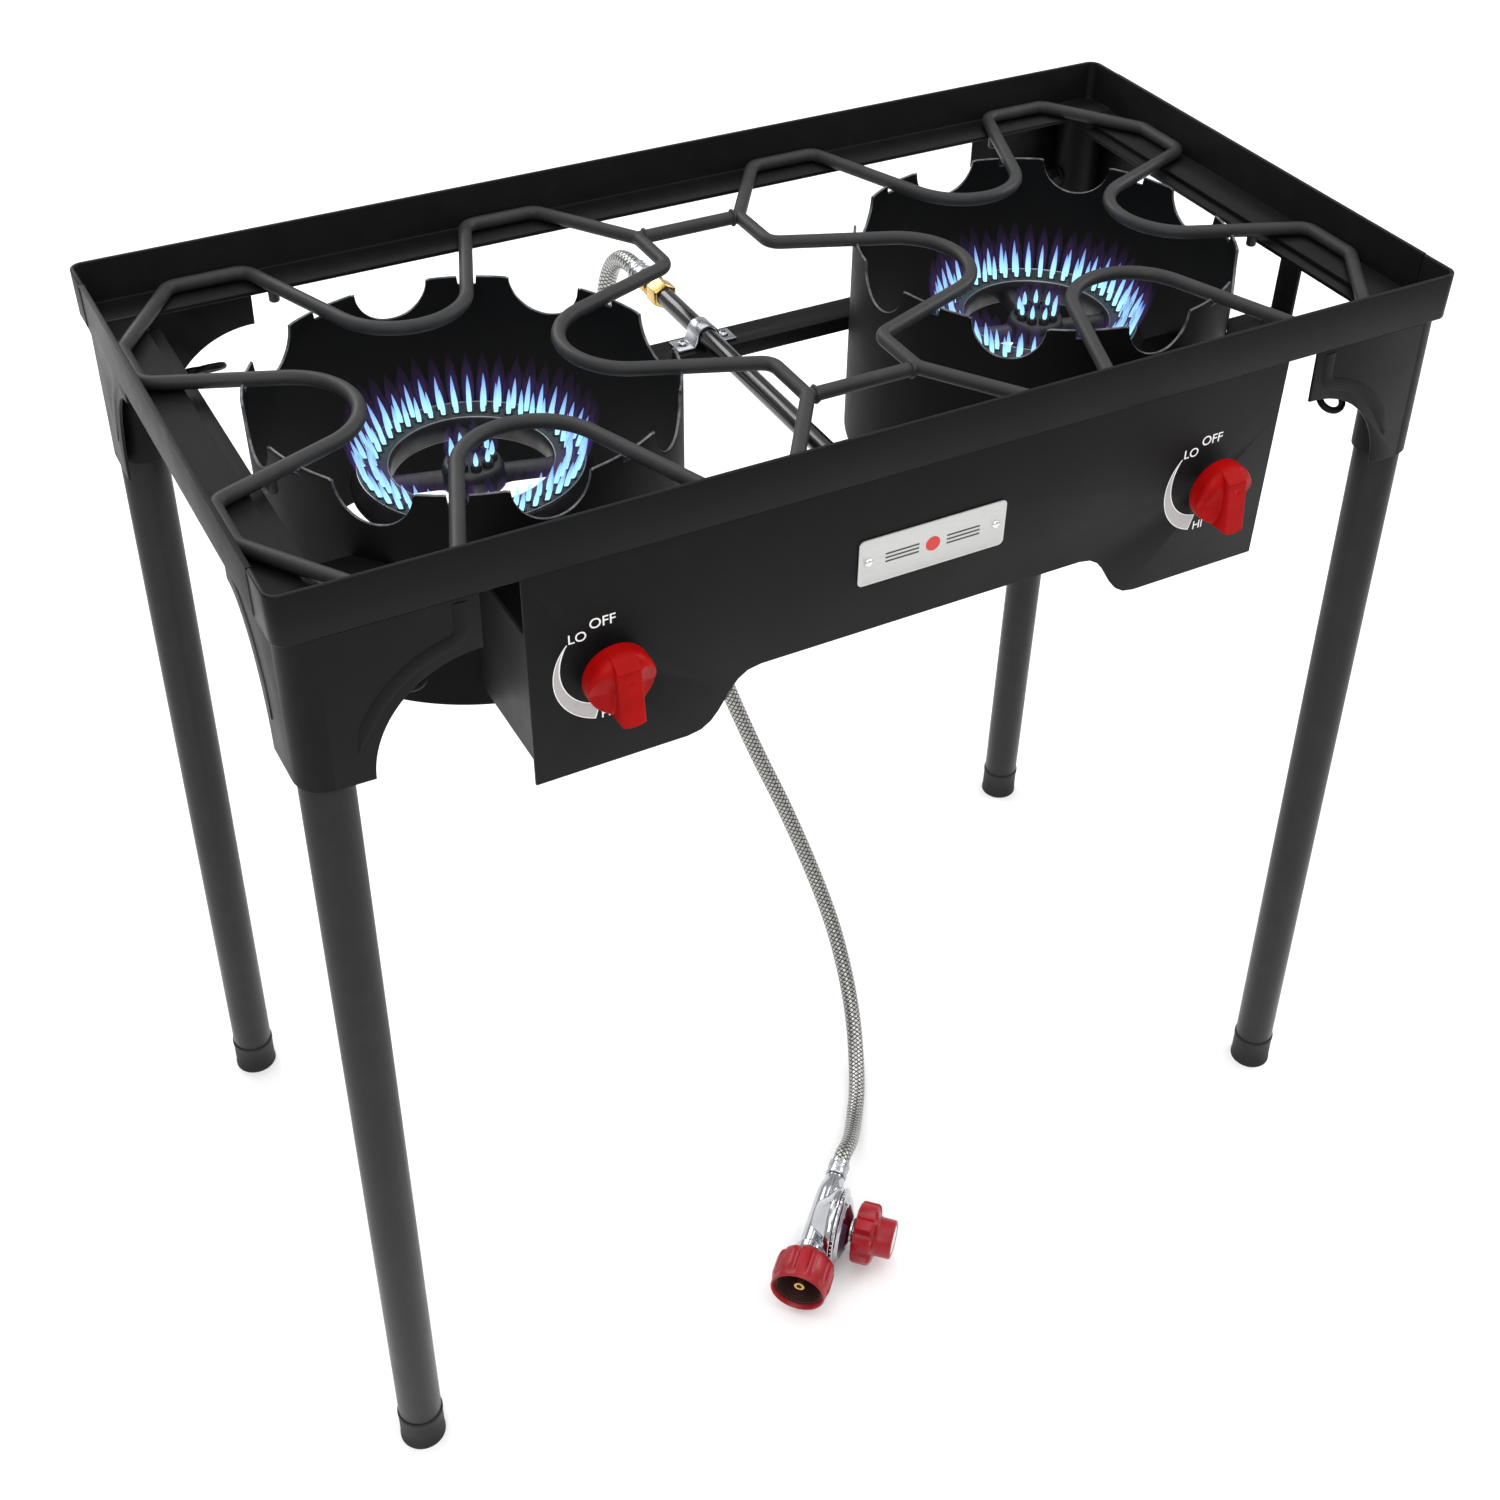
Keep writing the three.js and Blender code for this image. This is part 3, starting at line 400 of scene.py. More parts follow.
def circle(centre, u, v, radius, count):
    """Points round a centre in the plane of two unit vectors, radius in millimetres."""
    return [centre + (u * cos(t) + v * sin(t)) * (radius * MM) for t in turns(count)]


def trim(bm, point, outwards):
    """Cuts away what lies past a plane, and closes the cut."""
    geom = bm.verts[:] + bm.edges[:] + bm.faces[:]
    cut = bmesh.ops.bisect_plane(bm, geom=geom, plane_co=point, plane_no=outwards, clear_outer=True)
    bmesh.ops.holes_fill(bm, edges=[e for e in cut["geom_cut"] if isinstance(e, bmesh.types.BMEdge)])


def prism(bm, outline, matrix, depth, slot=0):
    """An outline in X-Y, in millimetres, raised along Z by depth and placed by matrix."""
    rings = []
    for level in (0, depth):
        rings.append([matrix @ (Vector((x, y, level)) * MM) for x, y in outline])
    return loft(bm, rings, slot=slot)


def soften(bm, width, angle=32):
    """Rounds the sharp edges, width in millimetres."""
    bmesh.ops.remove_doubles(bm, verts=bm.verts, dist=1e-7)
    bmesh.ops.recalc_face_normals(bm, faces=bm.faces)
    sharp = [e for e in bm.edges if e.is_manifold and e.calc_face_angle() > radians(angle)]
    bmesh.ops.bevel(bm, geom=sharp, offset=width * MM, segments=2, profile=0.5,
                    affect="EDGES", clamp_overlap=True)


def piece(name, bm, materials, body="stand", replaces=(), sharp=38):
    """Turns a finished bmesh into an object that rides on a body."""
    bmesh.ops.remove_doubles(bm, verts=bm.verts, dist=1e-7)
    bmesh.ops.recalc_face_normals(bm, faces=bm.faces)
    mesh = bpy.data.meshes.new(name)
    bm.to_mesh(mesh)
    bm.free()
    for one in materials if isinstance(materials, (list, tuple)) else [materials]:
        mesh.materials.append(one)
    mesh.shade_smooth()
    mesh.set_sharp_from_angle(angle=radians(sharp))
    obj = bpy.data.objects.new(name, mesh)
    scene.collection.objects.link(obj)
    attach(obj, body)
    if replaces:
        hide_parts(*([replaces] if isinstance(replaces, str) else replaces))
    return obj


def refined(node, material, body="stand", width=0.7):
    """A frame node's own shape with rounded edges, in its place."""
    bm = bmesh.new()
    bm.from_mesh(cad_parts[node].data)
    bmesh.ops.remove_doubles(bm, verts=bm.verts, dist=1e-6)
    bmesh.ops.dissolve_limit(bm, angle_limit=radians(1.0), verts=bm.verts, edges=bm.edges)
    soften(bm, width)
    return piece(node + "_shape", bm, material, body, replaces=node)


def lumpy(bm, points, radius, pitch=3.0):
    """A weld bead: a swept round whose ripples repeat along its length, in millimetres."""
    fine = []
    for a, b in zip(points, points[1:]):
        steps = max(2, int((b - a).length / (0.9 * MM)))
        fine.extend(a.lerp(b, i / steps) for i in range(steps))
    fine.append(points[-1])
    radii = []
    travelled = 0.0
    for i, point in enumerate(fine):
        travelled += (point - fine[i - 1]).length / MM if i else 0.0
        end = min(1.0, 0.45 + 0.4 * min(i, len(fine) - 1 - i))
        radii.append(radius * MM * end * (1 + 0.16 * sin(2 * pi * travelled / pitch)))
    tube(bm, fine, radii, 8)


def place_text(name, words, matrix, size, material):
    """Flat printed letters, as a thin solid."""
    data = bpy.data.curves.new(name, "FONT")
    data.body = words
    data.size = size * MM
    data.extrude = 0.00006
    data.align_x = "CENTER"
    data.align_y = "CENTER"
    data.offset = 0.00005
    text = bpy.data.objects.new(name, data)
    scene.collection.objects.link(text)
    text.matrix_world = matrix
    bpy.context.view_layer.update()
    mesh = bpy.data.meshes.new_from_object(text.evaluated_get(bpy.context.evaluated_depsgraph_get()))
    mesh.transform(matrix)
    bpy.data.objects.remove(text)
    mesh.materials.clear()
    mesh.materials.append(material)
    obj = bpy.data.objects.new(name, mesh)
    scene.collection.objects.link(obj)
    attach(obj, "stand")
    return obj


# ---------------------------------------------------------------- gas hose
HOSE_ROUTE = [
    (0, 212.3, 680), (0, 226, 680), (0, 241, 676), (-1, 254, 665.5), (-2.5, 262, 649),
    (-4, 264.5, 628), (-4, 261.5, 601), (-1, 252, 567), (6, 236, 523), (15, 213, 470),
    (26, 186, 405), (36, 161, 345), (46, 142, 300), (59, 119, 250), (75, 92, 195),
    (87.5, 62, 140), (93.5, 34, 96), (92.5, 6, 59), (85.5, -22, 32), (71.5, -54, 14.5),
    (53.5, -86, 8.4), (39.5, -106, 9.8), (25, -126, 16.5), (12, -142, 25.5), (0, -153, 31.3),
    (-4.6, -157.5, 32), (-8.1, -161, 32),
]


def smooth_path(points, step):
    """A centripetal spline through the points, cut into short even steps."""
    ends = [points[0] * 2 - points[1], *points, points[-1] * 2 - points[-2]]
    fine = []
    for p0, p1, p2, p3 in zip(ends, ends[1:], ends[2:], ends[3:]):
        t0, t1 = 0.0, (p1 - p0).length ** 0.5
        t2 = t1 + (p2 - p1).length ** 0.5
        t3 = t2 + (p3 - p2).length ** 0.5
        pieces = max(2, round((p2 - p1).length / step))
        for i in range(pieces):
            t = t1 + (t2 - t1) * i / pieces
            a1 = p0 * ((t1 - t) / (t1 - t0)) + p1 * ((t - t0) / (t1 - t0))
            a2 = p1 * ((t2 - t) / (t2 - t1)) + p2 * ((t - t1) / (t2 - t1))
            a3 = p2 * ((t3 - t) / (t3 - t2)) + p3 * ((t - t2) / (t3 - t2))
            b1 = a1 * ((t2 - t) / (t2 - t0)) + a2 * ((t - t0) / (t2 - t0))
            b2 = a2 * ((t3 - t) / (t3 - t1)) + a3 * ((t - t1) / (t3 - t1))
            fine.append(b1 * ((t2 - t) / (t2 - t1)) + b2 * ((t - t1) / (t2 - t1)))
    fine.append(points[-1])
    return fine


def add_hose():
    path = smooth_path([at(*point) for point in HOSE_ROUTE], 0.004)
    sides = 24
    bm = bmesh.new()
    rings = tube(bm, path, HOSE_RADIUS * MM, sides)
    layer = bm.loops.layers.uv.new("UVMap")
    where = {}
    travelled = 0.0
    for i, ring in enumerate(rings):
        travelled += (path[i] - path[i - 1]).length if i else 0.0
        for j, vert in enumerate(ring):
            where[vert] = (j / sides, travelled)
    for face in bm.faces:
        spots = [where[loop.vert] for loop in face.loops]
        wraps = max(s[0] for s in spots) - min(s[0] for s in spots) > 0.5
        for loop, (u, v) in zip(face.loops, spots):
            loop[layer].uv = (u + 1 if wraps and u < 0.5 else u, v)
    length = sum((b - a).length for a, b in zip(path, path[1:]))
    hose = piece("hose", bm, BRAID, replaces="gas_hose")
    return hose, path, length


hose, hose_path, hose_length = add_hose()


# ---------------------------------------------------------------- frame
def add_frame():
    for side in ("front", "rear", "left", "right"):
        refined(f"frame_rail_{side}", POWDER, width=0.9)
    for side in SIDES:
        refined(f"side_strip_{side}", POWDER, width=0.6)
    bm = bmesh.new()
    seam_y = 174.15
    for sx, sy in CORNERS.values():
        y = sy * seam_y
        lumpy(bm, [at(sx * 374, y, 747.1), at(sx * 401, y, 747.1)], 1.0)
        lumpy(bm, [at(sx * 405, y, 746), at(sx * 405, y, 774)], 0.7)
    piece("rail_welds", bm, WELD)


add_frame()


# ---------------------------------------------------------------- leg sockets, legs and feet
def lean_of(corner):
    """Upright leg drawing, +x and +y inwards, to its splayed place."""
    sx, sy = CORNERS[corner]
    axis = Vector((-sx * SPLAY_X, -sy * SPLAY_Y, RIM_TOP)).normalized()
    turn = Vector((0, 0, 1)).rotation_difference(axis).to_matrix().to_4x4()
    flip = Matrix.Diagonal((-sx, -sy, 1, 1))
    return Matrix.Translation(at(sx * FOOT_X, sy * FOOT_Y, 0)) @ turn @ flip


def arch(centre, low, half, rise, start, stop, steps=28):
    """Points on the gusset's concave corner, from its foot to its top."""
    points = []
    for i in range(steps + 1):
        t = radians(start + (stop - start) * i / steps)
        points.append((centre + half * cos(t), low + rise * sin(t)))
    return points


def gusset(bm, reach, half, rise, matrix):
    curve = arch(reach, GUSSET_LOW, half, rise, 180, 90)
    outline = [(0, GUSSET_LOW), *curve, (reach, RIM_TOP), (0, RIM_TOP)]
    prism(bm, outline, matrix, GUSSET_SHEET)


def gusset_rib(bm, reach, half, rise, matrix, face):
    """The pressed rib that follows the arch and turns up at its end."""
    inset = 11
    curve = arch(reach, GUSSET_LOW, half + inset, rise + inset, 164, 103, 30)
    x, z = curve[-1]
    path = [*curve, (x + 3.4, z + 1.8), (x + 5.6, z + 4.8), (x + 6.2, z + 9), (x + 6.2, 743)]
    points = [matrix @ (Vector((a, b, face)) * MM) for a, b in path]
    out = (matrix.to_3x3() @ Vector((0, 0, 1))).normalized()
    rings = []
    last = len(points) - 1
    for i, point in enumerate(points):
        tangent = (points[min(i + 1, last)] - points[max(i - 1, 0)]).normalized()
        side = tangent.cross(out)
        swell = min(1.0, 0.15 + i / 7)
        ring = []
        for k in range(13):
            t = -1 + k / 6
            crown = cos(t * pi / 2) ** 2 * 1.7 * swell - 0.1
            ring.append(point + (side * (t * 4.4 * swell) + out * crown) * MM)
        ring.append(point + (side * 3 * swell - out * 0.6) * MM)
        ring.append(point + (-side * 3 * swell - out * 0.6) * MM)
        rings.append(ring)
    loft(bm, rings)


def rib_face(plane):
    """The plate's outer face: the one further from the leg's middle."""
    faces = [(plane @ Vector((0, 0, level * MM))).length for level in (0, GUSSET_SHEET)]
    return 0 if faces[0] > faces[1] else GUSSET_SHEET


def add_socket(corner):
    lean = lean_of(corner)
    bm = bmesh.new()
    front = Matrix(((1, 0, 0, 0), (0, 0, 1, -SLEEVE * MM), (0, 1, 0, 0), (0, 0, 0, 1)))
    side = Matrix(((0, 0, 1, -SLEEVE * MM), (1, 0, 0, 0), (0, 1, 0, 0), (0, 0, 0, 1)))
    plates = ((92, 68, 68, front), (82, 48, 86, side))
    for reach, half, rise, plane in plates:
        gusset(bm, reach, half, rise, plane)
    soften(bm, 0.5)
    for reach, half, rise, plane in plates:
        gusset_rib(bm, reach, half, rise, plane, rib_face(plane))
    profile = [(16.3, 642.6), (16.9, 642), (17.7, 642), (SLEEVE, 642.6), (SLEEVE, 790), (16.3, 790)]
    lathe(bm, Vector(), (0, 0, 1), profile, 64, wrap=True)
    nut = [(0, 17.5), (8.2, 17.5), (8.2, 26.4), (7.4, 27.2), (3.8, 27.2), (3.8, 20), (0, 20)]
    lathe(bm, Vector((0, 0, EYE_Z * MM)), (1, 0, 0), nut, 6, start=pi / 6)
    lumpy(bm, [Vector((19, 8.6 * cos(t), EYE_Z + 8.6 * sin(t))) * MM for t in turns(16)], 1.1)
    bm.transform(lean)
    trim(bm, at(0, 0, RAIL_BOTTOM - 0.4), (0, 0, 1))
    piece(f"socket_{corner}", bm, POWDER, replaces=f"leg_socket_{corner}")


def add_leg(corner):
    lean = lean_of(corner)
    body = CORNER_BODY[corner] + "_leg"
    bm = bmesh.new()
    profile = [(14.6, 5.4), (15.9, 5.4), (16, 6), (16, 731.2), (15.6, 731.9), (14.9, 731.9), (14.6, 731.3)]
    lathe(bm, Vector(), (0, 0, 1), profile, 64, wrap=True)
    bm.transform(lean)
    piece(f"leg_tube_{corner}", bm, LEG_COAT, body, replaces=f"leg_{corner}")

    bm = bmesh.new()
    wall = [(0, -2), (16.2, -2), (17, -1), (17, 2.5), (16.6, 3.4), (16.6, 26), (17, 27), (17, 29),
            (16.7, 29.8), (16.2, 30), (16.2, 5.1), (0, 5.1)]
    lathe(bm, Vector(), (0, 0, 1), wall, 64)
    bm.transform(lean)
    trim(bm, (0, 0, 0), (0, 0, -1))
    piece(f"foot_cap_{corner}", bm, RUBBER, body, replaces=f"leg_foot_{corner}")


def add_eye_screw(corner):
    lean = lean_of(corner)
    bm = bmesh.new()
    shank = [(0, 16.8), (2.2, 16.8), (2.9, 17.6)]
    along, pitch = 17.6, 1.15
    while along < 37.5:
        shank += [(3.0, along + 0.25), (2.6, along + 0.7), (3.0, along + 1.1)]
        along += pitch
    shank += [(3.0, 44), (2.8, 46.5), (0, 46.5)]
    lathe(bm, Vector((0, 0, EYE_Z * MM)), (1, 0, 0), shank, 20)
    tilt = Matrix.Rotation(0.6, 4, "X")
    centre = Vector((54, 0, EYE_Z)) * MM
    ring = [centre + tilt @ (Vector((-cos(t), -sin(t), 0)) * (8.6 * MM)) for t in turns(40)]
    tube(bm, ring, 2.4 * MM, 16, closed=True, up=tilt @ Vector((0, 0, 1)))
    bm.transform(lean)
    body = CORNER_BODY[corner] + "_eye"
    piece(f"eye_{corner}", bm, POWDER, body, replaces=f"eye_screw_{corner}", sharp=60)


for corner_name in CORNERS:
    add_socket(corner_name)
    add_leg(corner_name)
    add_eye_screw(corner_name)


# ---------------------------------------------------------------- pot rack
def rounded(points, radius, steps=8):
    """A polyline with its inner corners turned into short curves."""
    out = [points[0]]
    for before, here, after in zip(points, points[1:], points[2:]):
        back = (before - here).normalized()
        ahead = (after - here).normalized()
        reach = radius / tan(back.angle(ahead) / 2)
        start, end = here + back * reach, here + ahead * reach
        for i in range(steps + 1):
            t = i / steps
            out.append(start * (1 - t) ** 2 + here * (2 * t * (1 - t)) + end * t * t)
    out.append(points[-1])
    return out


def rack_side(half, mouth, cut_end, middle):
    """One side of a loop, with its petal bent inwards to a round tip."""
    tip, meet = 69, -12
    lean = atan2(mouth, half - meet)
    centre = (tip - meet * sin(lean)) / (1 - sin(lean))
    radius = centre - tip
    arm = [Vector((*middle, 0)), Vector((cut_end, half, 0)), Vector((mouth, half, 0)),
           Vector((radius * cos(lean), centre - radius * sin(lean), 0))]
    arm = rounded(arm, 12)
    steps = 26
    bow = []
    for i in range(1, steps):
        t = -lean - (i / steps) * (pi - 2 * lean)
        bow.append(Vector((radius * cos(t), centre + radius * sin(t), 0)))
    mirror = [Vector((-p.x, p.y, 0)) for p in reversed(arm)]
    return [*arm, *bow, *mirror]


def rack_loop():
    long_side = rack_side(190, 78, 130, (154, 155))
    short_side = rack_side(178, 74, 120, (155, 154))
    loop = []
    for i, side in enumerate((long_side, short_side, long_side, short_side)):
        turn = Matrix.Rotation(i * pi / 2, 3, "Z")
        loop.extend(turn @ p for p in side[:-1])
    return loop


RACK_LOOP = rack_loop()


def add_rack():
    bm = bmesh.new()
    for sign in SIDES.values():
        centre = sign * BURNER_X
        path = [at(p.x + centre, p.y + RACK_Y, ROD_Z) for p in RACK_LOOP]
        tube(bm, path, ROD * MM, 18, closed=True, up=Vector((0, 0, 1)))
        on_long, on_short = 78 * 176 / 202, 74 * 153 / 190
        for x, y in ((on_long, 164), (on_long, -164), (141, -on_short)):
            low = at(centre + sign * x, y + RACK_Y, ROD_Z - 11.7)
            lathe(bm, low, (0, 0, 1), [(2.9, 0), (3.6, 0.7), (3.6, 11)], 20)
    for sign in SIDES.values():
        y = sign * 120 + RACK_Y
        tube(bm, [at(-39, y, ROD_Z), at(39, y, ROD_Z)], ROD * MM, 18)
        for end in SIDES.values():
            ring = [at(end * 34.4, y + 4.9 * cos(t), ROD_Z + 4.9 * sin(t)) for t in turns(14)]
            lumpy(bm, [*ring, ring[0]], 1.3, pitch=4)
    piece("rack_rods", bm, ROD_COAT, "rack", replaces="pot_rack", sharp=60)


add_rack()


# ---------------------------------------------------------------- wind guards
def rack_crossings():
    """Angles round a burner at which the loop's rod passes over the guard's wall."""
    angles = []
    wall = GUARD_RADIUS - 1
    for a, b in zip(RACK_LOOP, RACK_LOOP[1:] + RACK_LOOP[:1]):
        ra, rb = hypot(a.x, a.y + RACK_Y), hypot(b.x, b.y + RACK_Y)
        if (ra - wall) * (rb - wall) < 0:
            spot = a.lerp(b, (wall - ra) / (rb - ra))
            angles.append(atan2(spot.y + RACK_Y, spot.x))
    return angles


def guard_height(angle, crossings):
    top = GUARD_TOP
    nearest = (angle + pi / 8) % (pi / 4) - pi / 8
    offset = (GUARD_RADIUS - 1) * sin(nearest)
    if abs(offset) < SCALLOP:
        top = min(top, GUARD_TOP + 1 - (SCALLOP ** 2 - offset ** 2) ** 0.5)
    elif abs(offset) < SCALLOP + SCALLOP_LIP:
        top -= SCALLOP_LIP - (SCALLOP_LIP ** 2 - (SCALLOP + SCALLOP_LIP - abs(offset)) ** 2) ** 0.5
    half_notch, notch_depth = 6.2, 6
    for crossing in crossings:
        gap = abs((angle - crossing + pi) % (2 * pi) - pi) * (GUARD_RADIUS - 1)
        if gap < half_notch:
            top = min(top, GUARD_TOP - notch_depth + 0.6 * (gap / half_notch) ** 8)
    return top


def add_guard(side):
    centre = at(SIDES[side] * BURNER_X, 0, 0)
    crossings = rack_crossings()
    bm = bmesh.new()
    columns = turns(1440)
    inner, outer = GUARD_RADIUS - 2, GUARD_RADIUS

    def ring(radius, height):
        return [centre + Vector((radius * cos(t), radius * sin(t), height(t))) * MM for t in columns]

    edge = {t: guard_height(t, crossings) for t in columns}
    rises = [(0.4, 0), (0, 0.5), (0, 2)]
    levels = [(inset, lambda t, rise=rise: GUARD_BOTTOM + rise) for inset, rise in rises]
    levels += [(inset, lambda t, drop=drop: edge[t] - drop) for inset, drop in reversed(rises)]
    outside = [ring(outer - inset, height) for inset, height in levels]
    inside = [ring(inner + inset, height) for inset, height in levels]
    made = loft(bm, [*outside, *reversed(inside)], wrap=True)
    # The rim faces take the edge material, whose lighter grey is partly a painted highlight along the cut
    # edge.
    rim = set().union(*made[4:8])
    for face in bm.faces:
        if all(v in rim for v in face.verts):
            face.material_index = 1
    # The guard's coat is darkened as painted shade.
    coats = [GUARD_SHADED_COAT, EDGE_GLINT]
    guard = piece(f"guard_{side}", bm, coats, replaces=f"wind_guard_{side}", sharp=50)
    cut_tube_hole(guard, side)


def cut_tube_hole(guard, side):
    """The hole in the guard's front wall that the mixing tube passes through."""
    bm = bmesh.new()
    lathe(bm, at(SIDES[side] * BURNER_X, -GUARD_RADIUS - 8, TUBE_Z), (0, 1, 0), [(17, 0), (17, 24)], 48)
    bmesh.ops.recalc_face_normals(bm, faces=bm.faces)
    mesh = bpy.data.meshes.new("hole")
    bm.to_mesh(mesh)
    bm.free()
    cutter = bpy.data.objects.new("hole", mesh)
    scene.collection.objects.link(cutter)
    cut = guard.modifiers.new("hole", "BOOLEAN")
    cut.operation = "DIFFERENCE"
    cut.object = cutter
    bpy.context.view_layer.update()
    pierced = bpy.data.meshes.new_from_object(guard.evaluated_get(bpy.context.evaluated_depsgraph_get()))
    guard.modifiers.clear()
    guard.data = pierced
    bpy.data.objects.remove(cutter)


for side_name in SIDES:
    add_guard(side_name)


# ---------------------------------------------------------------- burners
def port_cells(bm, centre, r0, r1, count, hole, depth, level):
    """A flat ring of cells, each pierced by a round blind port inside a raised lip."""
    rm = (r0 + r1) / 2
    wide = 2 * pi / count
    steps = [i / 2 for i in range(-2, 3)]
    border = [(u, 1) for u in (0, 0.5)] + [(1, v) for v in reversed(steps)]
    border += [(u, -1) for u in (0.5, 0, -0.5)] + [(-1, v) for v in steps] + [(-0.5, 1)]

    def spot(radius, angle, down=0.0):
        return centre + Vector((radius * cos(angle), radius * sin(angle), level - down)) * MM

    for i in range(count):
        am = (i + 0.5) * wide
        frame_points = [bm.verts.new(spot(rm + v * (r1 - r0) / 2, am + u * wide / 2)) for u, v in border]
        top, low = [], []
        for k in range(16):
            t = pi / 2 - k * pi / 8
            dr, da = hole * sin(t), hole * cos(t) / rm
            top.append(bm.verts.new(spot(rm + dr, am + da)))
            low.append(bm.verts.new(spot(rm + dr * 0.9, am + da * 0.9, depth)))
        for k in range(16):
            n = (k + 1) % 16
            bm.faces.new((frame_points[k], frame_points[n], top[n], top[k]))
            # The port's wall and floor take the second slot: near-black painted shade for the hole's depth.
            bm.faces.new((top[k], top[n], low[n], low[k])).material_index = 1
        bm.faces.new(low).material_index = 1
        lip = [(hole, -0.6), (hole, 0.7), (hole + 0.25, 1.0), (hole + 0.6, 0.8), (hole + 0.8, -0.1)]
        lathe(bm, spot(rm, am), (0, 0, 1), lip, 16, open_ends=True)


def add_burner(side):
    centre = at(SIDES[side] * BURNER_X, 0, 0)
    level = BURNER_TOP
    bm = bmesh.new()
    inner, middle, outer = 56.9, 64.15, 71.4
    ring = [(outer, level), (72.4, level - 0.2), (73.4, level - 1.4), (76.2, level - 9)]
    ring += [(77.8, level - 11.5), (77.8, level - 14.6), (76.8, level - 16), (53.4, level - 16)]
    ring += [(52.3, level - 15), (52.1, level - 0.8), (52.6, level), (inner, level)]
    lathe(bm, centre, (0, 0, 1), ring, RING_PORTS * 4, open_ends=True)
    for r0, r1 in ((inner, middle), (middle, outer)):
        port_cells(bm, centre, r0, r1, RING_PORTS, 2.3, 2.6, level)
    bmesh.ops.remove_doubles(bm, verts=bm.verts, dist=2e-6)
    hub = [(0, level - 0.6), (7, level - 0.2), (17, level - 0.2), (18.4, level - 1), (19.6, level - 4)]
    hub += [(21.4, level - 13), (20.8, level - 15.9), (0, level - 16)]
    lathe(bm, centre, (0, 0, 1), hub, 64)
    for t in turns(HUB_PORTS, pi / HUB_PORTS):
        nozzle = [(3.7, -0.5), (3.55, 3.6), (3.15, 4.1), (2.6, 4.0), (2.35, 3.2), (2.3, 0.6), (0, 0.6)]
        foot = centre + Vector((HUB_PORT_CIRCLE * cos(t), HUB_PORT_CIRCLE * sin(t), level)) * MM
        lathe(bm, foot, (0, 0, 1), nozzle, 20, open_ends=True)
    for i in range(4):
        turn = Matrix.Translation(centre) @ Matrix.Rotation((i + 0.85) * pi / 2, 4, "Z")
        arm = bmesh.new()
        outline = [(-8, 676.4), (-7, 676), (7, 676), (8, 676.4), (7.4, 680), (5.2, 684.5), (2.6, 685.9),
                   (-2.6, 685.9), (-5.2, 684.5), (-7.4, 680)]
        ends = []
        for x, swell in ((18, 1.0), (24, 0.82), (46, 0.82), (55, 1.0)):
            ends.append([turn @ (Vector((x, y * swell, z)) * MM) for y, z in outline])
        loft(arm, ends)
        spare = bpy.data.meshes.new("arm")
        arm.to_mesh(spare)
        arm.free()
        bm.from_mesh(spare)
        bpy.data.meshes.remove(spare)
    coats = [IRON, RECESS_SHADE]
    piece(f"burner_head_{side}", bm, coats, replaces=f"burner_{side}", sharp=48)
    bm = bmesh.new()
    for radius in (52.8, 72.4):
        rim = circle(centre + Vector((0, 0, level * MM)), Vector((1, 0, 0)), Vector((0, 1, 0)), radius, 120)
        tube(bm, rim, 0.55 * MM, 8, closed=True, up=Vector((0, 0, 1)))
    piece(f"burner_rims_{side}", bm, STEEL_EDGE)


def add_under_burner(side):
    refined(f"mixing_tube_{side}", IRON, width=0.8)
    refined(f"air_shutter_{side}", ZINC, body=f"{side}_shutter", width=0.3)
    refined(f"burner_seat_{side}", POWDER, width=0.5)
    refined(f"burner_bolt_{side}", ZINC, width=0.5)
    refined(f"jet_{side}", BRASS, width=0.5)
    refined(f"valve_body_{side}", BRASS, width=1.2)
    refined(f"valve_stem_{side}", BRASS, body=f"{side}_knob", width=0.4)


def add_flames(side):
    """Small blue jets over the ports. They aren't part of the object."""
    centre = at(SIDES[side] * BURNER_X, 0, 0)
    core, halo = bmesh.new(), bmesh.new()
    rows = [(60.5, RING_PORTS, 0.26, 0.86, 0), (67.8, RING_PORTS, 0.36, 1.0, 0)]
    rows.append((HUB_PORT_CIRCLE, HUB_PORTS, 0.12, 0.5, 4))
    for radius, count, lean, size, lift in rows:
        for i in range(count):
            t = (i + 0.5) * 2 * pi / count
            out = Vector((cos(t), sin(t), 0))
            root = centre + out * (radius * MM) + Vector((0, 0, (BURNER_TOP + lift - 1) * MM))
            tilt = (Vector((0, 0, 1)) + out * (lean + random.uniform(-0.05, 0.05))).normalized()
            tall = size * random.uniform(0.9, 1.1)
            drop = [(1.65, 5), (1.55, 10), (1.05, 16), (0.4, 20.5), (0, 22.5)]
            wisp = [(3.7, 10), (4.0, 19), (3.0, 28), (0, 38)]
            lathe(core, root, tilt, [(0, 0), (1.3, 0.6)] + [(r, h * tall) for r, h in drop], 10)
            lathe(halo, root, tilt, [(0, 1), (2.6, 3)] + [(r, h * tall) for r, h in wisp], 10)
    for name, bm, material in (("flame_core", core, FLAME_CORE), ("flame_halo", halo, FLAME_HALO)):
        mesh = bpy.data.meshes.new(f"{name}_{side}")
        bm.to_mesh(mesh)
        bm.free()
        mesh.materials.append(material)
        mesh.shade_smooth()
        obj = bpy.data.objects.new(f"{name}_{side}", mesh)
        scene.collection.objects.link(obj)
        obj.visible_shadow = False


for side_name in SIDES:
    add_burner(side_name)
    add_under_burner(side_name)
    add_flames(side_name)


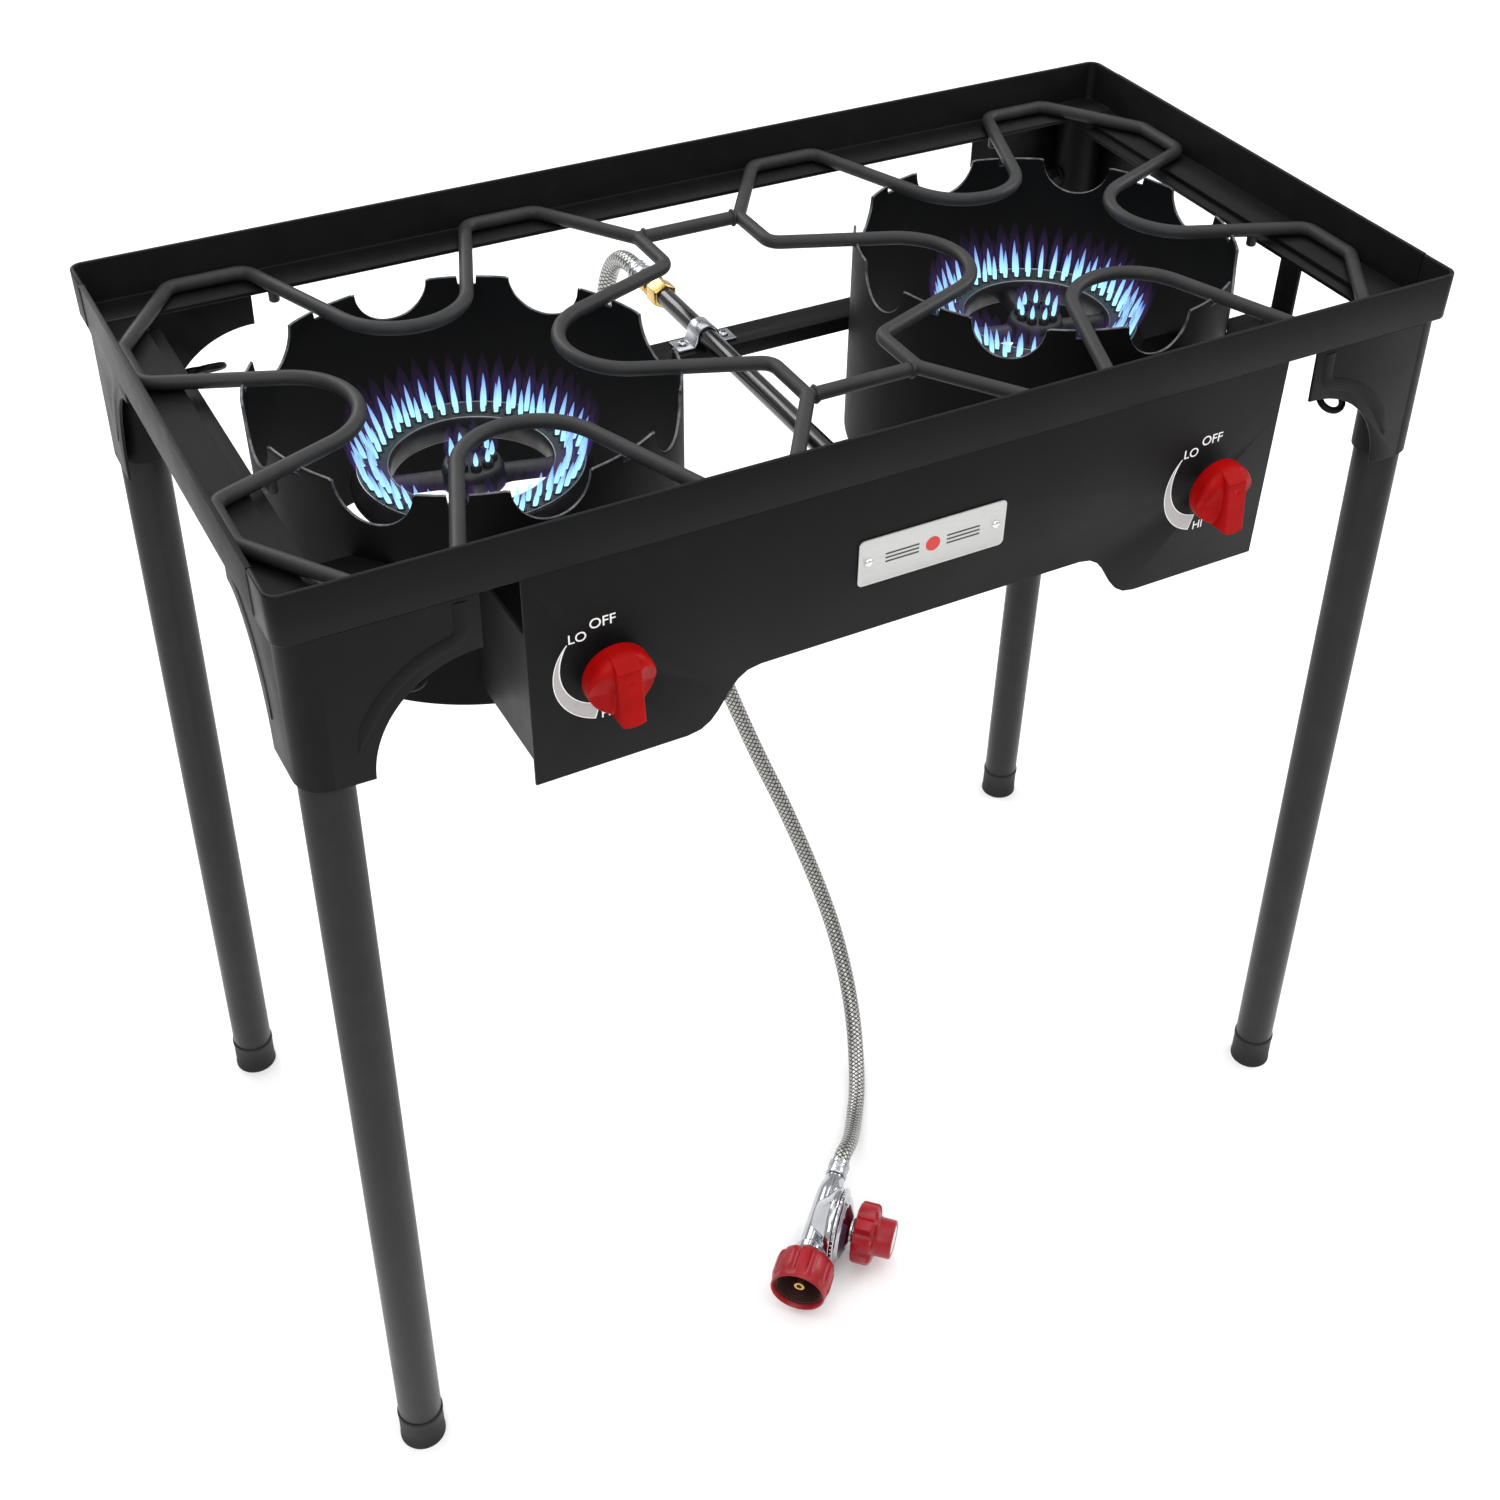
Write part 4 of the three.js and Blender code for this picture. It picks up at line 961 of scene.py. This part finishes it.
# ---------------------------------------------------------------- gas line, cross bar and clamp
def add_gas_line():
    refined("cross_bar", POWDER, width=0.7)
    bm = bmesh.new()
    run = [(6.2, -170.5), (PIPE_RADIUS, -169.7), (PIPE_RADIUS, 162.2), (6.3, 163)]
    lathe(bm, at(0, 0, PIPE_Z), (0, 1, 0), run, 40)
    piece("inlet_tube", bm, GLOSS_BLACK, replaces="inlet_pipe")
    bm = bmesh.new()
    end = BURNER_X - 14.3
    run = [(6.4, -end), (PIPE_RADIUS, -end + 0.7), (PIPE_RADIUS, end - 0.7), (6.4, end)]
    lathe(bm, at(0, -178, PIPE_Z), (1, 0, 0), run, 40)
    piece("manifold_tube", bm, GLOSS_BLACK, replaces="manifold_pipe")

    bm = bmesh.new()
    rear = at(0, 0, PIPE_Z)
    nut = [(8.6, 163.4), (10.4, 164.6), (10.4, 177), (9.0, 178.6), (0, 178.6)]
    lathe(bm, rear, (0, 1, 0), nut, 6, start=pi / 6)
    body = [(0, 164), (8.0, 164), (8.0, 179.2), (7.2, 179.6), (7.2, 182), (8.9, 182.6), (8.9, 184.6),
            (7.4, 185.2), (7.4, 187), (0, 187)]
    lathe(bm, rear, (0, 1, 0), body, 36)
    adapter = [(0, 186.4), (7.9, 186.4), (9.1, 187.4), (9.1, 195.4), (7.9, 196.8), (0, 196.8)]
    lathe(bm, rear, (0, 1, 0), adapter, 6, start=pi / 6)
    soften(bm, 0.35)
    piece("inlet_brass", bm, BRASS, replaces="inlet_fitting")

    bm = bmesh.new()
    crimp(bm, rear, (0, 1, 0), 197.3, 212.0)
    piece("ferrule_rear", bm, ZINC, replaces="hose_ferrule_inlet")


def crimp(bm, origin, axis, start, end):
    """A pressed hose sleeve with two crimped rings."""
    length = end - start
    full, pressed = FERRULE_RADIUS, FERRULE_RADIUS - 0.7
    profile = [(0, start), (pressed, start), (full, start + 0.6), (full, start + 0.24 * length)]
    for share in (0.34, 0.66):
        middle = start + share * length
        profile += [(pressed, middle - 0.9), (pressed, middle + 0.9), (full, middle + 1.5)]
    profile += [(full, end - 0.8), (full - 0.4, end - 0.1), (full - 1.2, end), (0, end)]
    lathe(bm, origin, axis, profile, 40)


def add_clamp():
    bm = bmesh.new()
    foot, sheet, around = 672.9, 1.8, 7.3
    outer = around + sheet
    centre = PIPE_Z

    def strap(radius, base):
        knee = radius + 1.0
        points = [(-23.4, base), (-knee - 1.2, base)]
        points += [(radius * cos(t), centre + radius * sin(t)) for t in turns(25, pi, -pi * 25 / 24)][:25]
        points += [(knee + 1.2, base), (23.4, base)]
        return points

    top = strap(outer, foot + sheet)
    under = strap(around, foot)
    outline = [*top, *reversed(under)]
    matrix = Matrix(((1, 0, 0, 0), (0, 0, -1, (111 + SHIFT_Y) * MM), (0, 1, 0, 0), (0, 0, 0, 1)))
    prism(bm, outline, matrix, 16)
    soften(bm, 0.4, angle=50)
    piece("clamp_strap", bm, ZINC, replaces="pipe_clamp")
    for side, sign in SIDES.items():
        bm = bmesh.new()
        spot = at(sign * 16.5, 103, 0)
        seat = foot + sheet + 0.3
        head = [(0, 663.8), (1.9, 663.8), (1.9, seat), (3.55, seat), (3.6, seat + 0.5), (3.1, seat + 1.5),
                (2.0, seat + 2.1), (0, seat + 2.3)]
        lathe(bm, spot, (0, 0, 1), head, 32)
        # The cross recess in the head is black bars laid on top of it: painted shade in the recess.
        for turn in (0.4, 0.4 + pi / 2):
            matrix = Matrix.Translation(spot) @ Matrix.Rotation(turn, 4, "Z")
            slit = [(-1.7, -0.35), (1.7, -0.35), (1.7, 0.35), (-1.7, 0.35)]
            prism(bm, slit, matrix @ Matrix.Translation(Vector((0, 0, seat + 2.0)) * MM), 0.36, slot=1)
        piece(f"clamp_pan_screw_{side}", bm, [ZINC, RECESS_SHADE], replaces=f"clamp_screw_{side}")


add_gas_line()
add_clamp()


# ---------------------------------------------------------------- control panel
def facing(x, z, out=0.0):
    """A drawing plane on the panel's face: x to the right, y up, z towards the cook."""
    y = PANEL_FRONT - out + SHIFT_Y
    return Matrix(((1, 0, 0, x * MM), (0, 0, -1, y * MM), (0, 1, 0, z * MM), (0, 0, 0, 1)))


def dial_marks(side):
    x = SIDES[side] * BURNER_X
    steps, reach = 48, 36
    for name, edge, low, high, material in (
        ("dial_outline", 0.0, 0.02, 0.08, WHITE_PRINT),
        ("dial_crescent", 0.55, 0.05, 0.12, DIAL_GREY),
    ):
        bm = bmesh.new()
        outline, back = [], []
        for i in range(steps + 1):
            share = i / steps
            t = radians(137 + edge * 6 + (116 - edge * 8) * share)
            outer = reach - edge
            inner = min(outer - 0.15, reach - max(0.7, 0.3 + 11.5 * share ** 0.85) + edge)
            outline.append((outer * cos(t), outer * sin(t)))
            back.append((inner * cos(t), inner * sin(t)))
        rings = []
        for level in (low, high):
            place = facing(x, KNOB_Z)
            rings.append([place @ (Vector((a, b, level)) * MM) for a, b in [*outline, *reversed(back)]])
        loft(bm, rings)
        piece(f"{name}_{side}", bm, material)
    for words, dx, dz, size in (("OFF", -3.6, 33.6, 9.6), ("LO", -19.6, 27.2, 9.2), ("HI", -2.8, -32.6, 9.0)):
        spot = facing(x + dx, KNOB_Z + dz, 0.08)
        place_text(f"dial_{words.lower()}_{side}", words, spot, size, WHITE_PRINT)


def add_nameplate():
    half_x, half_z, radius = 53, 16.5, 3.6
    bm = bmesh.new()

    def outline(inset):
        points = []
        for cx, cz, start in ((1, 1, 0), (-1, 1, 90), (-1, -1, 180), (1, -1, 270)):
            for i in range(9):
                t = radians(start + i * 90 / 8)
                points.append((cx * (half_x - radius) + (radius - inset) * cos(t),
                               cz * (half_z - radius) + (radius - inset) * sin(t)))
        return points

    levels = [(0.35, 0.3), (0.0, 0.55), (0.0, 1.1), (0.35, 1.3), (1.3, 1.3), (1.7, 1.12)]
    rings = []
    for inset, level in levels:
        rings.append([facing(0, BADGE_Z) @ (Vector((a, b, level)) * MM) for a, b in outline(inset)])
    loft(bm, rings)
    piece("badge_plate", bm, BADGE, replaces="nameplate")
    bm = bmesh.new()
    for sign in SIDES.values():
        spot = facing(sign * 46, BADGE_Z) @ (Vector((0, 0, 1.1)) * MM)
        head = [(2.9, 0), (2.8, 0.5), (2.2, 1.2), (1.2, 1.7), (0.6, 1.6), (0, 1.3)]
        lathe(bm, spot, (0, -1, 0), head, 32)
    piece("badge_rivets", bm, RIVET)
    bm = bmesh.new()
    for sign in SIDES.values():
        for low, high in ((2.2, 3.4), (-0.6, 0.6), (-3.4, -2.2)):
            bar = [(10, low), (34, low), (34, high), (10, high)]
            bar = [(sign * a, b) for a, b in bar]
            prism(bm, bar, facing(0, BADGE_Z) @ Matrix.Translation(Vector((0, 0, 1.12)) * MM), 0.06)
    piece("badge_lines", bm, ENGRAVED)
    bm = bmesh.new()
    spot = facing(0, BADGE_Z) @ (Vector((0, 0, 1.1)) * MM)
    lathe(bm, spot, (0, -1, 0), [(5.2, 0), (5.0, 0.25), (0, 0.35)], 40)
    piece("badge_dot", bm, RED_ENAMEL)


def add_panel():
    refined("control_panel", PANEL_POWDER, width=0.6)
    for side in SIDES:
        dial_marks(side)
    add_nameplate()


add_panel()


# ---------------------------------------------------------------- control knobs
KNOB_RADIUS, GRIP = 21.5, 7.5


def knob_height(a, b):
    """How far the face stands out at a to the right and b up: a dome, scooped beside its bar."""
    radius = min(1.0, hypot(a, b) / KNOB_RADIUS)
    dome = 8.4 + 9.2 * (1 - radius ** 3) ** 0.5
    if b > 15:
        bar = 20.2 - (b - 15) * 1.75
    else:
        bar = 20.2 + (15 - b) * 0.135
    for line in (14.6, 12.9):
        bar += 0.45 * max(0.0, 1 - abs(b - line) / 0.55) ** 0.5
    bar -= 0.7 * max(0.0, 1 - (hypot(a - 0.4, b - 7.6) / 1.7) ** 2)
    beyond = abs(a) - GRIP
    if beyond <= 0:
        return max(dome, bar - 0.5 * max(0.0, (beyond + 0.6) / 0.6) ** 2)
    floor = 8.0 + 0.42 * max(0.0, b + 5)
    wall = floor + max(0.0, bar - 0.5 - floor) * 2.718 ** (-(beyond / 1.5) ** 0.8)
    return min(dome, wall) if bar - 0.5 > dome or b < 10 else dome


def add_knob(side):
    """The grid's columns follow the bar's edges and its rows follow the steps at the bar's top."""
    x0 = SIDES[side] * BURNER_X
    back = PANEL_FRONT - 7
    inner = [GRIP * i / 8 for i in range(8)] + [7.1, GRIP - 0.2, GRIP]
    outer = [GRIP + 0.25, GRIP + 0.6, GRIP + 1.1, GRIP + 1.8, GRIP + 2.7]
    outer += [KNOB_RADIUS * sin(radians(d)) for d in (32, 36, 41, 46, 52, 58, 64, 70, 76, 82, 86, 89)]
    columns = sorted({-v for v in inner + outer} | set(inner + outer))
    reach = (KNOB_RADIUS ** 2 - GRIP ** 2) ** 0.5
    rows = [-reach + 0.3 + i * 1.1 for i in range(25)]
    rows = [b for b in rows if b < 5.2] + [5.6, 6.2, 6.8, 7.6, 8.4, 9.0, 9.6, 10.6, 11.6]
    rows += [12.2, 12.35, 12.6, 12.9, 13.2, 13.45, 13.6, 14.0, 14.05, 14.3, 14.6, 14.9, 15.15]
    rows += [15.6, 16.4, 17.4, 18.4, 19.3]
    rows = [0.0, *rows, 0.0]
    bm = bmesh.new()
    grid = []
    for a in columns:
        edge = max(0.05, (KNOB_RADIUS ** 2 - a * a)) ** 0.5
        squeeze = 1.0 if abs(a) <= GRIP else edge / reach
        line = [-edge] + [b * squeeze for b in rows[1:-1]] + [edge]
        grid.append([(a, b) for b in line])
    verts = []
    for line in grid:
        verts.append([bm.verts.new(at(x0 + a, back - knob_height(a, b), KNOB_Z + b)) for a, b in line])
    for left, right in zip(verts, verts[1:]):
        for k in range(len(rows) - 1):
            bm.faces.new((left[k], right[k], right[k + 1], left[k + 1]))
    rim = [line[0] for line in verts] + verts[-1][1:-1] + [line[-1] for line in reversed(verts)]
    rim += list(reversed(verts[0][1:-1]))
    centre = Vector((x0, 0, KNOB_Z)) * MM
    last = rim
    for level, scale in ((0.7, 1.0), (0.0, 0.97)):
        ring = []
        for vert in rim:
            spoke = (vert.co - centre) * scale
            face = at(x0, back - level, KNOB_Z)
            ring.append(bm.verts.new(Vector((face.x + spoke.x, face.y, face.z + spoke.z))))
        for k in range(len(ring)):
            n = (k + 1) % len(ring)
            bm.faces.new((last[k], last[n], ring[n], ring[k]))
        last = ring
    bm.faces.new(last)
    body = f"{side}_knob"
    piece(f"knob_cap_{side}", bm, KNOB_RED, body, replaces=f"control_knob_{side}", sharp=42)


for side_name in SIDES:
    add_knob(side_name)


# ---------------------------------------------------------------- regulator
REG_CENTRE, DISC = (-45, -212, 32), 31
FLOW = Vector((-0.70710678, -0.70710678, 0))
SPINDLE = Vector((0.70710678, -0.70710678, 0))


def reg(u, v, z=0.0):
    """A point of the regulator: u along the gas flow, v towards its adjusting knob."""
    return at(*REG_CENTRE) + (FLOW * u + SPINDLE * v + Vector((0, 0, z))) * MM


def lobed(bm, origin, axis, sections, lobes, narrow=1.6, power=0.7, wrap=False):
    """A turned grip whose edge swells into lobes; sections are (radius, dip, distance along)."""
    u, v, w = axes_round(axis)
    rings = []
    for radius, dip, along in sections:
        ring = []
        for t in turns(160):
            wave = 0.5 - 0.5 * cos(lobes * t)
            r = radius - dip * max(0.0, 1 - narrow * wave) ** power
            ring.append(origin + w * (along * MM) + (u * cos(t) + v * sin(t)) * (r * MM))
        rings.append(ring)
    return loft(bm, rings, wrap=wrap)


def add_regulator():
    axis_point = reg(0, -10)
    bm = bmesh.new()
    crimp(bm, axis_point, FLOW, -61.5, -46.6)
    piece("ferrule_front", bm, ZINC, replaces="hose_ferrule_regulator")

    bm = bmesh.new()
    barrel = [(0, -46), (7.2, -46), (8.3, -45), (8.3, -40), (9.6, -38), (10.8, -30), (11, -26), (11, 26)]
    barrel += [(12.6, 28), (12.6, 33), (11, 35), (11, 38), (0, 38)]
    lathe(bm, axis_point, FLOW, barrel, 48)
    dish = [(0, -15), (15.5, -15), (17.2, -14.2), (24, -6.5), (29.3, -2.4), (30.7, -1.2)]
    dish += [(DISC, 0.2), (DISC, 3.0), (30.4, 3.9), (0, 4)]
    lathe(bm, reg(0, 0), SPINDLE, dish, 96)
    for t in turns(6, pi / 6):
        inner = reg(15 * cos(t), -12.6, 15 * sin(t))
        outer = reg(28.4 * cos(t), -2.6, 28.4 * sin(t))
        tube(bm, [inner, outer], [1.7 * MM, 1.3 * MM], 12)
    piece("regulator_shell", bm, CHROME, replaces="regulator_body")

    bm = bmesh.new()
    lid = [(0, 4.3), (30.2, 4.3), (DISC, 4.9), (DISC, 6.6), (30.2, 7.5), (27.2, 7.8), (26.2, 8.6)]
    lid += [(25.2, 10.4), (21.5, 12.2), (15.5, 14.2), (12.6, 15.2), (11.8, 15.6), (10, 16), (10, 17.4)]
    lid += [(9.4, 18), (6.6, 18.1), (6.6, 18.9), (0, 18.9)]
    lathe(bm, reg(0, 0), SPINDLE, lid, 96)
    for t in turns(48):
        low, high = (reg(DISC * cos(t), level, DISC * sin(t)) for level in (5.0, 6.6))
        tube(bm, [low, high], 0.35 * MM, 6)
    piece("regulator_lid", bm, CHROME, replaces="regulator_bonnet")

    bm = bmesh.new()
    steps = 40
    section = ((16.4, 14.05), (24.6, 10.8), (24.7, 11.1), (16.5, 14.4))
    rings = []
    for i in range(steps + 1):
        t = radians(28) + radians(124) * i / steps
        rings.append([reg(r * sin(t), out, r * cos(t)) for r, out in section])
    loft(bm, rings)
    piece("regulator_band", bm, DARK_LABEL)

    bm = bmesh.new()
    grip = [(5.4, 0, 19.3), (8.4, 0, 19.4), (21, 1.5, 19.8), (24.4, 4.2, 20.8), (25.2, 5.4, 22.4)]
    grip += [(25.2, 5.4, 33.8), (24.2, 4.6, 35.8), (21, 2.5, 37), (17.6, 0, 37.6), (16.4, 0, 38.6)]
    grip += [(16, 0, 40), (16, 0, 50.4), (15.3, 0, 51.5), (13.2, 0, 52), (12.2, 0, 51.2), (0, 0, 51.2)]
    lobed(bm, reg(0, 0), SPINDLE, grip, 8)
    piece("regulator_grip", bm, NUT_RED, "pressure_knob", replaces="regulator_knob", sharp=45)
    bm = bmesh.new()
    lathe(bm, reg(0, 0), SPINDLE, [(0, 51.1), (11.6, 51.1), (11.6, 51.5), (11, 51.7), (0, 51.7)], 48)
    piece("regulator_cap_disc", bm, SILVER_PRINT, "pressure_knob")

    bm = bmesh.new()
    shell = [(8.2, 0, 39.2), (18, 0, 39.2), (21.4, 1.2, 40.4), (23.4, 2.2, 43), (24, 2.8, 47)]
    shell += [(24, 2.8, 60), (23.2, 1.6, 64), (22.4, 0.4, 66.5), (22.4, 0, 70), (21.9, 0, 70.9)]
    shell += [(21.0, 0, 71), (20.4, 0, 70.4), (20.0, 0, 69), (19.4, 0, 68), (19.4, 0, 47), (8.2, 0, 46)]
    lobed(bm, axis_point, FLOW, shell, 10, narrow=2.1, power=0.6, wrap=True)
    piece("tank_nut_shell", bm, NUT_RED, "coupling", replaces="tank_nut", sharp=45)
    bm = bmesh.new()
    liner = [(19.35, 47), (19.35, 67.5), (19.0, 67.5), (19.0, 47.4), (8.4, 47.2), (8.4, 46.6)]
    lathe(bm, axis_point, FLOW, liner, 64, open_ends=True)
    u, v, w = axes_round(FLOW)
    for i in range(9):
        ring = circle(axis_point + w * ((50 + 2 * i) * MM), u, v, 18.9, 64)
        tube(bm, ring, 0.55 * MM, 8, closed=True, up=w)
    piece("tank_nut_thread", bm, THREAD, "coupling")

    bm = bmesh.new()
    stem = [(0, 38.4), (7, 38.4), (7, 52), (6.2, 53), (6.2, 54.6), (7, 55.4), (7, 56.4), (5.2, 57.4)]
    stem += [(4.6, 64), (4.2, 65), (2.3, 65), (2.3, 60), (0, 60)]
    lathe(bm, axis_point, FLOW, stem, 48)
    piece("tank_nipple_brass", bm, BRASS, replaces="tank_nipple")
    bm = bmesh.new()
    tube(bm, circle(axis_point + w * (53.8 * MM), u, v, 6.6, 48), 0.9 * MM, 12, closed=True, up=w)
    piece("tank_nipple_seal", bm, RUBBER)


add_regulator()


# ---------------------------------------------------------------- floor and light
def add_studio():
    mesh = bpy.data.meshes.new("floor")
    reach = 30.0
    square = [(-reach, -reach, 0), (reach, -reach, 0), (reach, reach, 0), (-reach, reach, 0)]
    mesh.from_pydata(square, [], [(0, 1, 2, 3)])
    n = Nodes("floor")
    n.set(color=n.mix(n.noise(0.8, 2), (0.86, 0.86, 0.86, 1), (0.9, 0.9, 0.9, 1)), rough=0.75)
    mesh.materials.append(n.material)
    floor = bpy.data.objects.new("floor", mesh)
    scene.collection.objects.link(floor)

    world = bpy.data.worlds.new("studio")
    world.use_nodes = True
    sky = world.node_tree.nodes["Background"]
    sky.inputs["Color"].default_value = (1, 1, 1, 1)
    sky.inputs["Strength"].default_value = 0.62
    scene.world = world

    lamps = [
        ("ceiling", (0.0, 0.3, 4.6), (0, 0.3, 0), 6.5, 230),
        ("key", (-1.7, -2.5, 2.6), (0, 0, 0.6), 1.5, 34),
        ("side", (2.8, -0.4, 2.0), (0, 0, 0.5), 1.2, 34),
        ("rim", (-0.6, 3.0, 2.4), (0, 0, 0.7), 1.6, 46),
    ]
    for name, place, aim, size, power in lamps:
        data = bpy.data.lights.new(name, "AREA")
        data.shape = "SQUARE"
        data.size = size
        data.energy = power
        lamp = bpy.data.objects.new(name, data)
        scene.collection.objects.link(lamp)
        lamp.location = place
        lamp.rotation_euler = (Vector(aim) - Vector(place)).to_track_quat("-Z", "Y").to_euler()


add_studio()
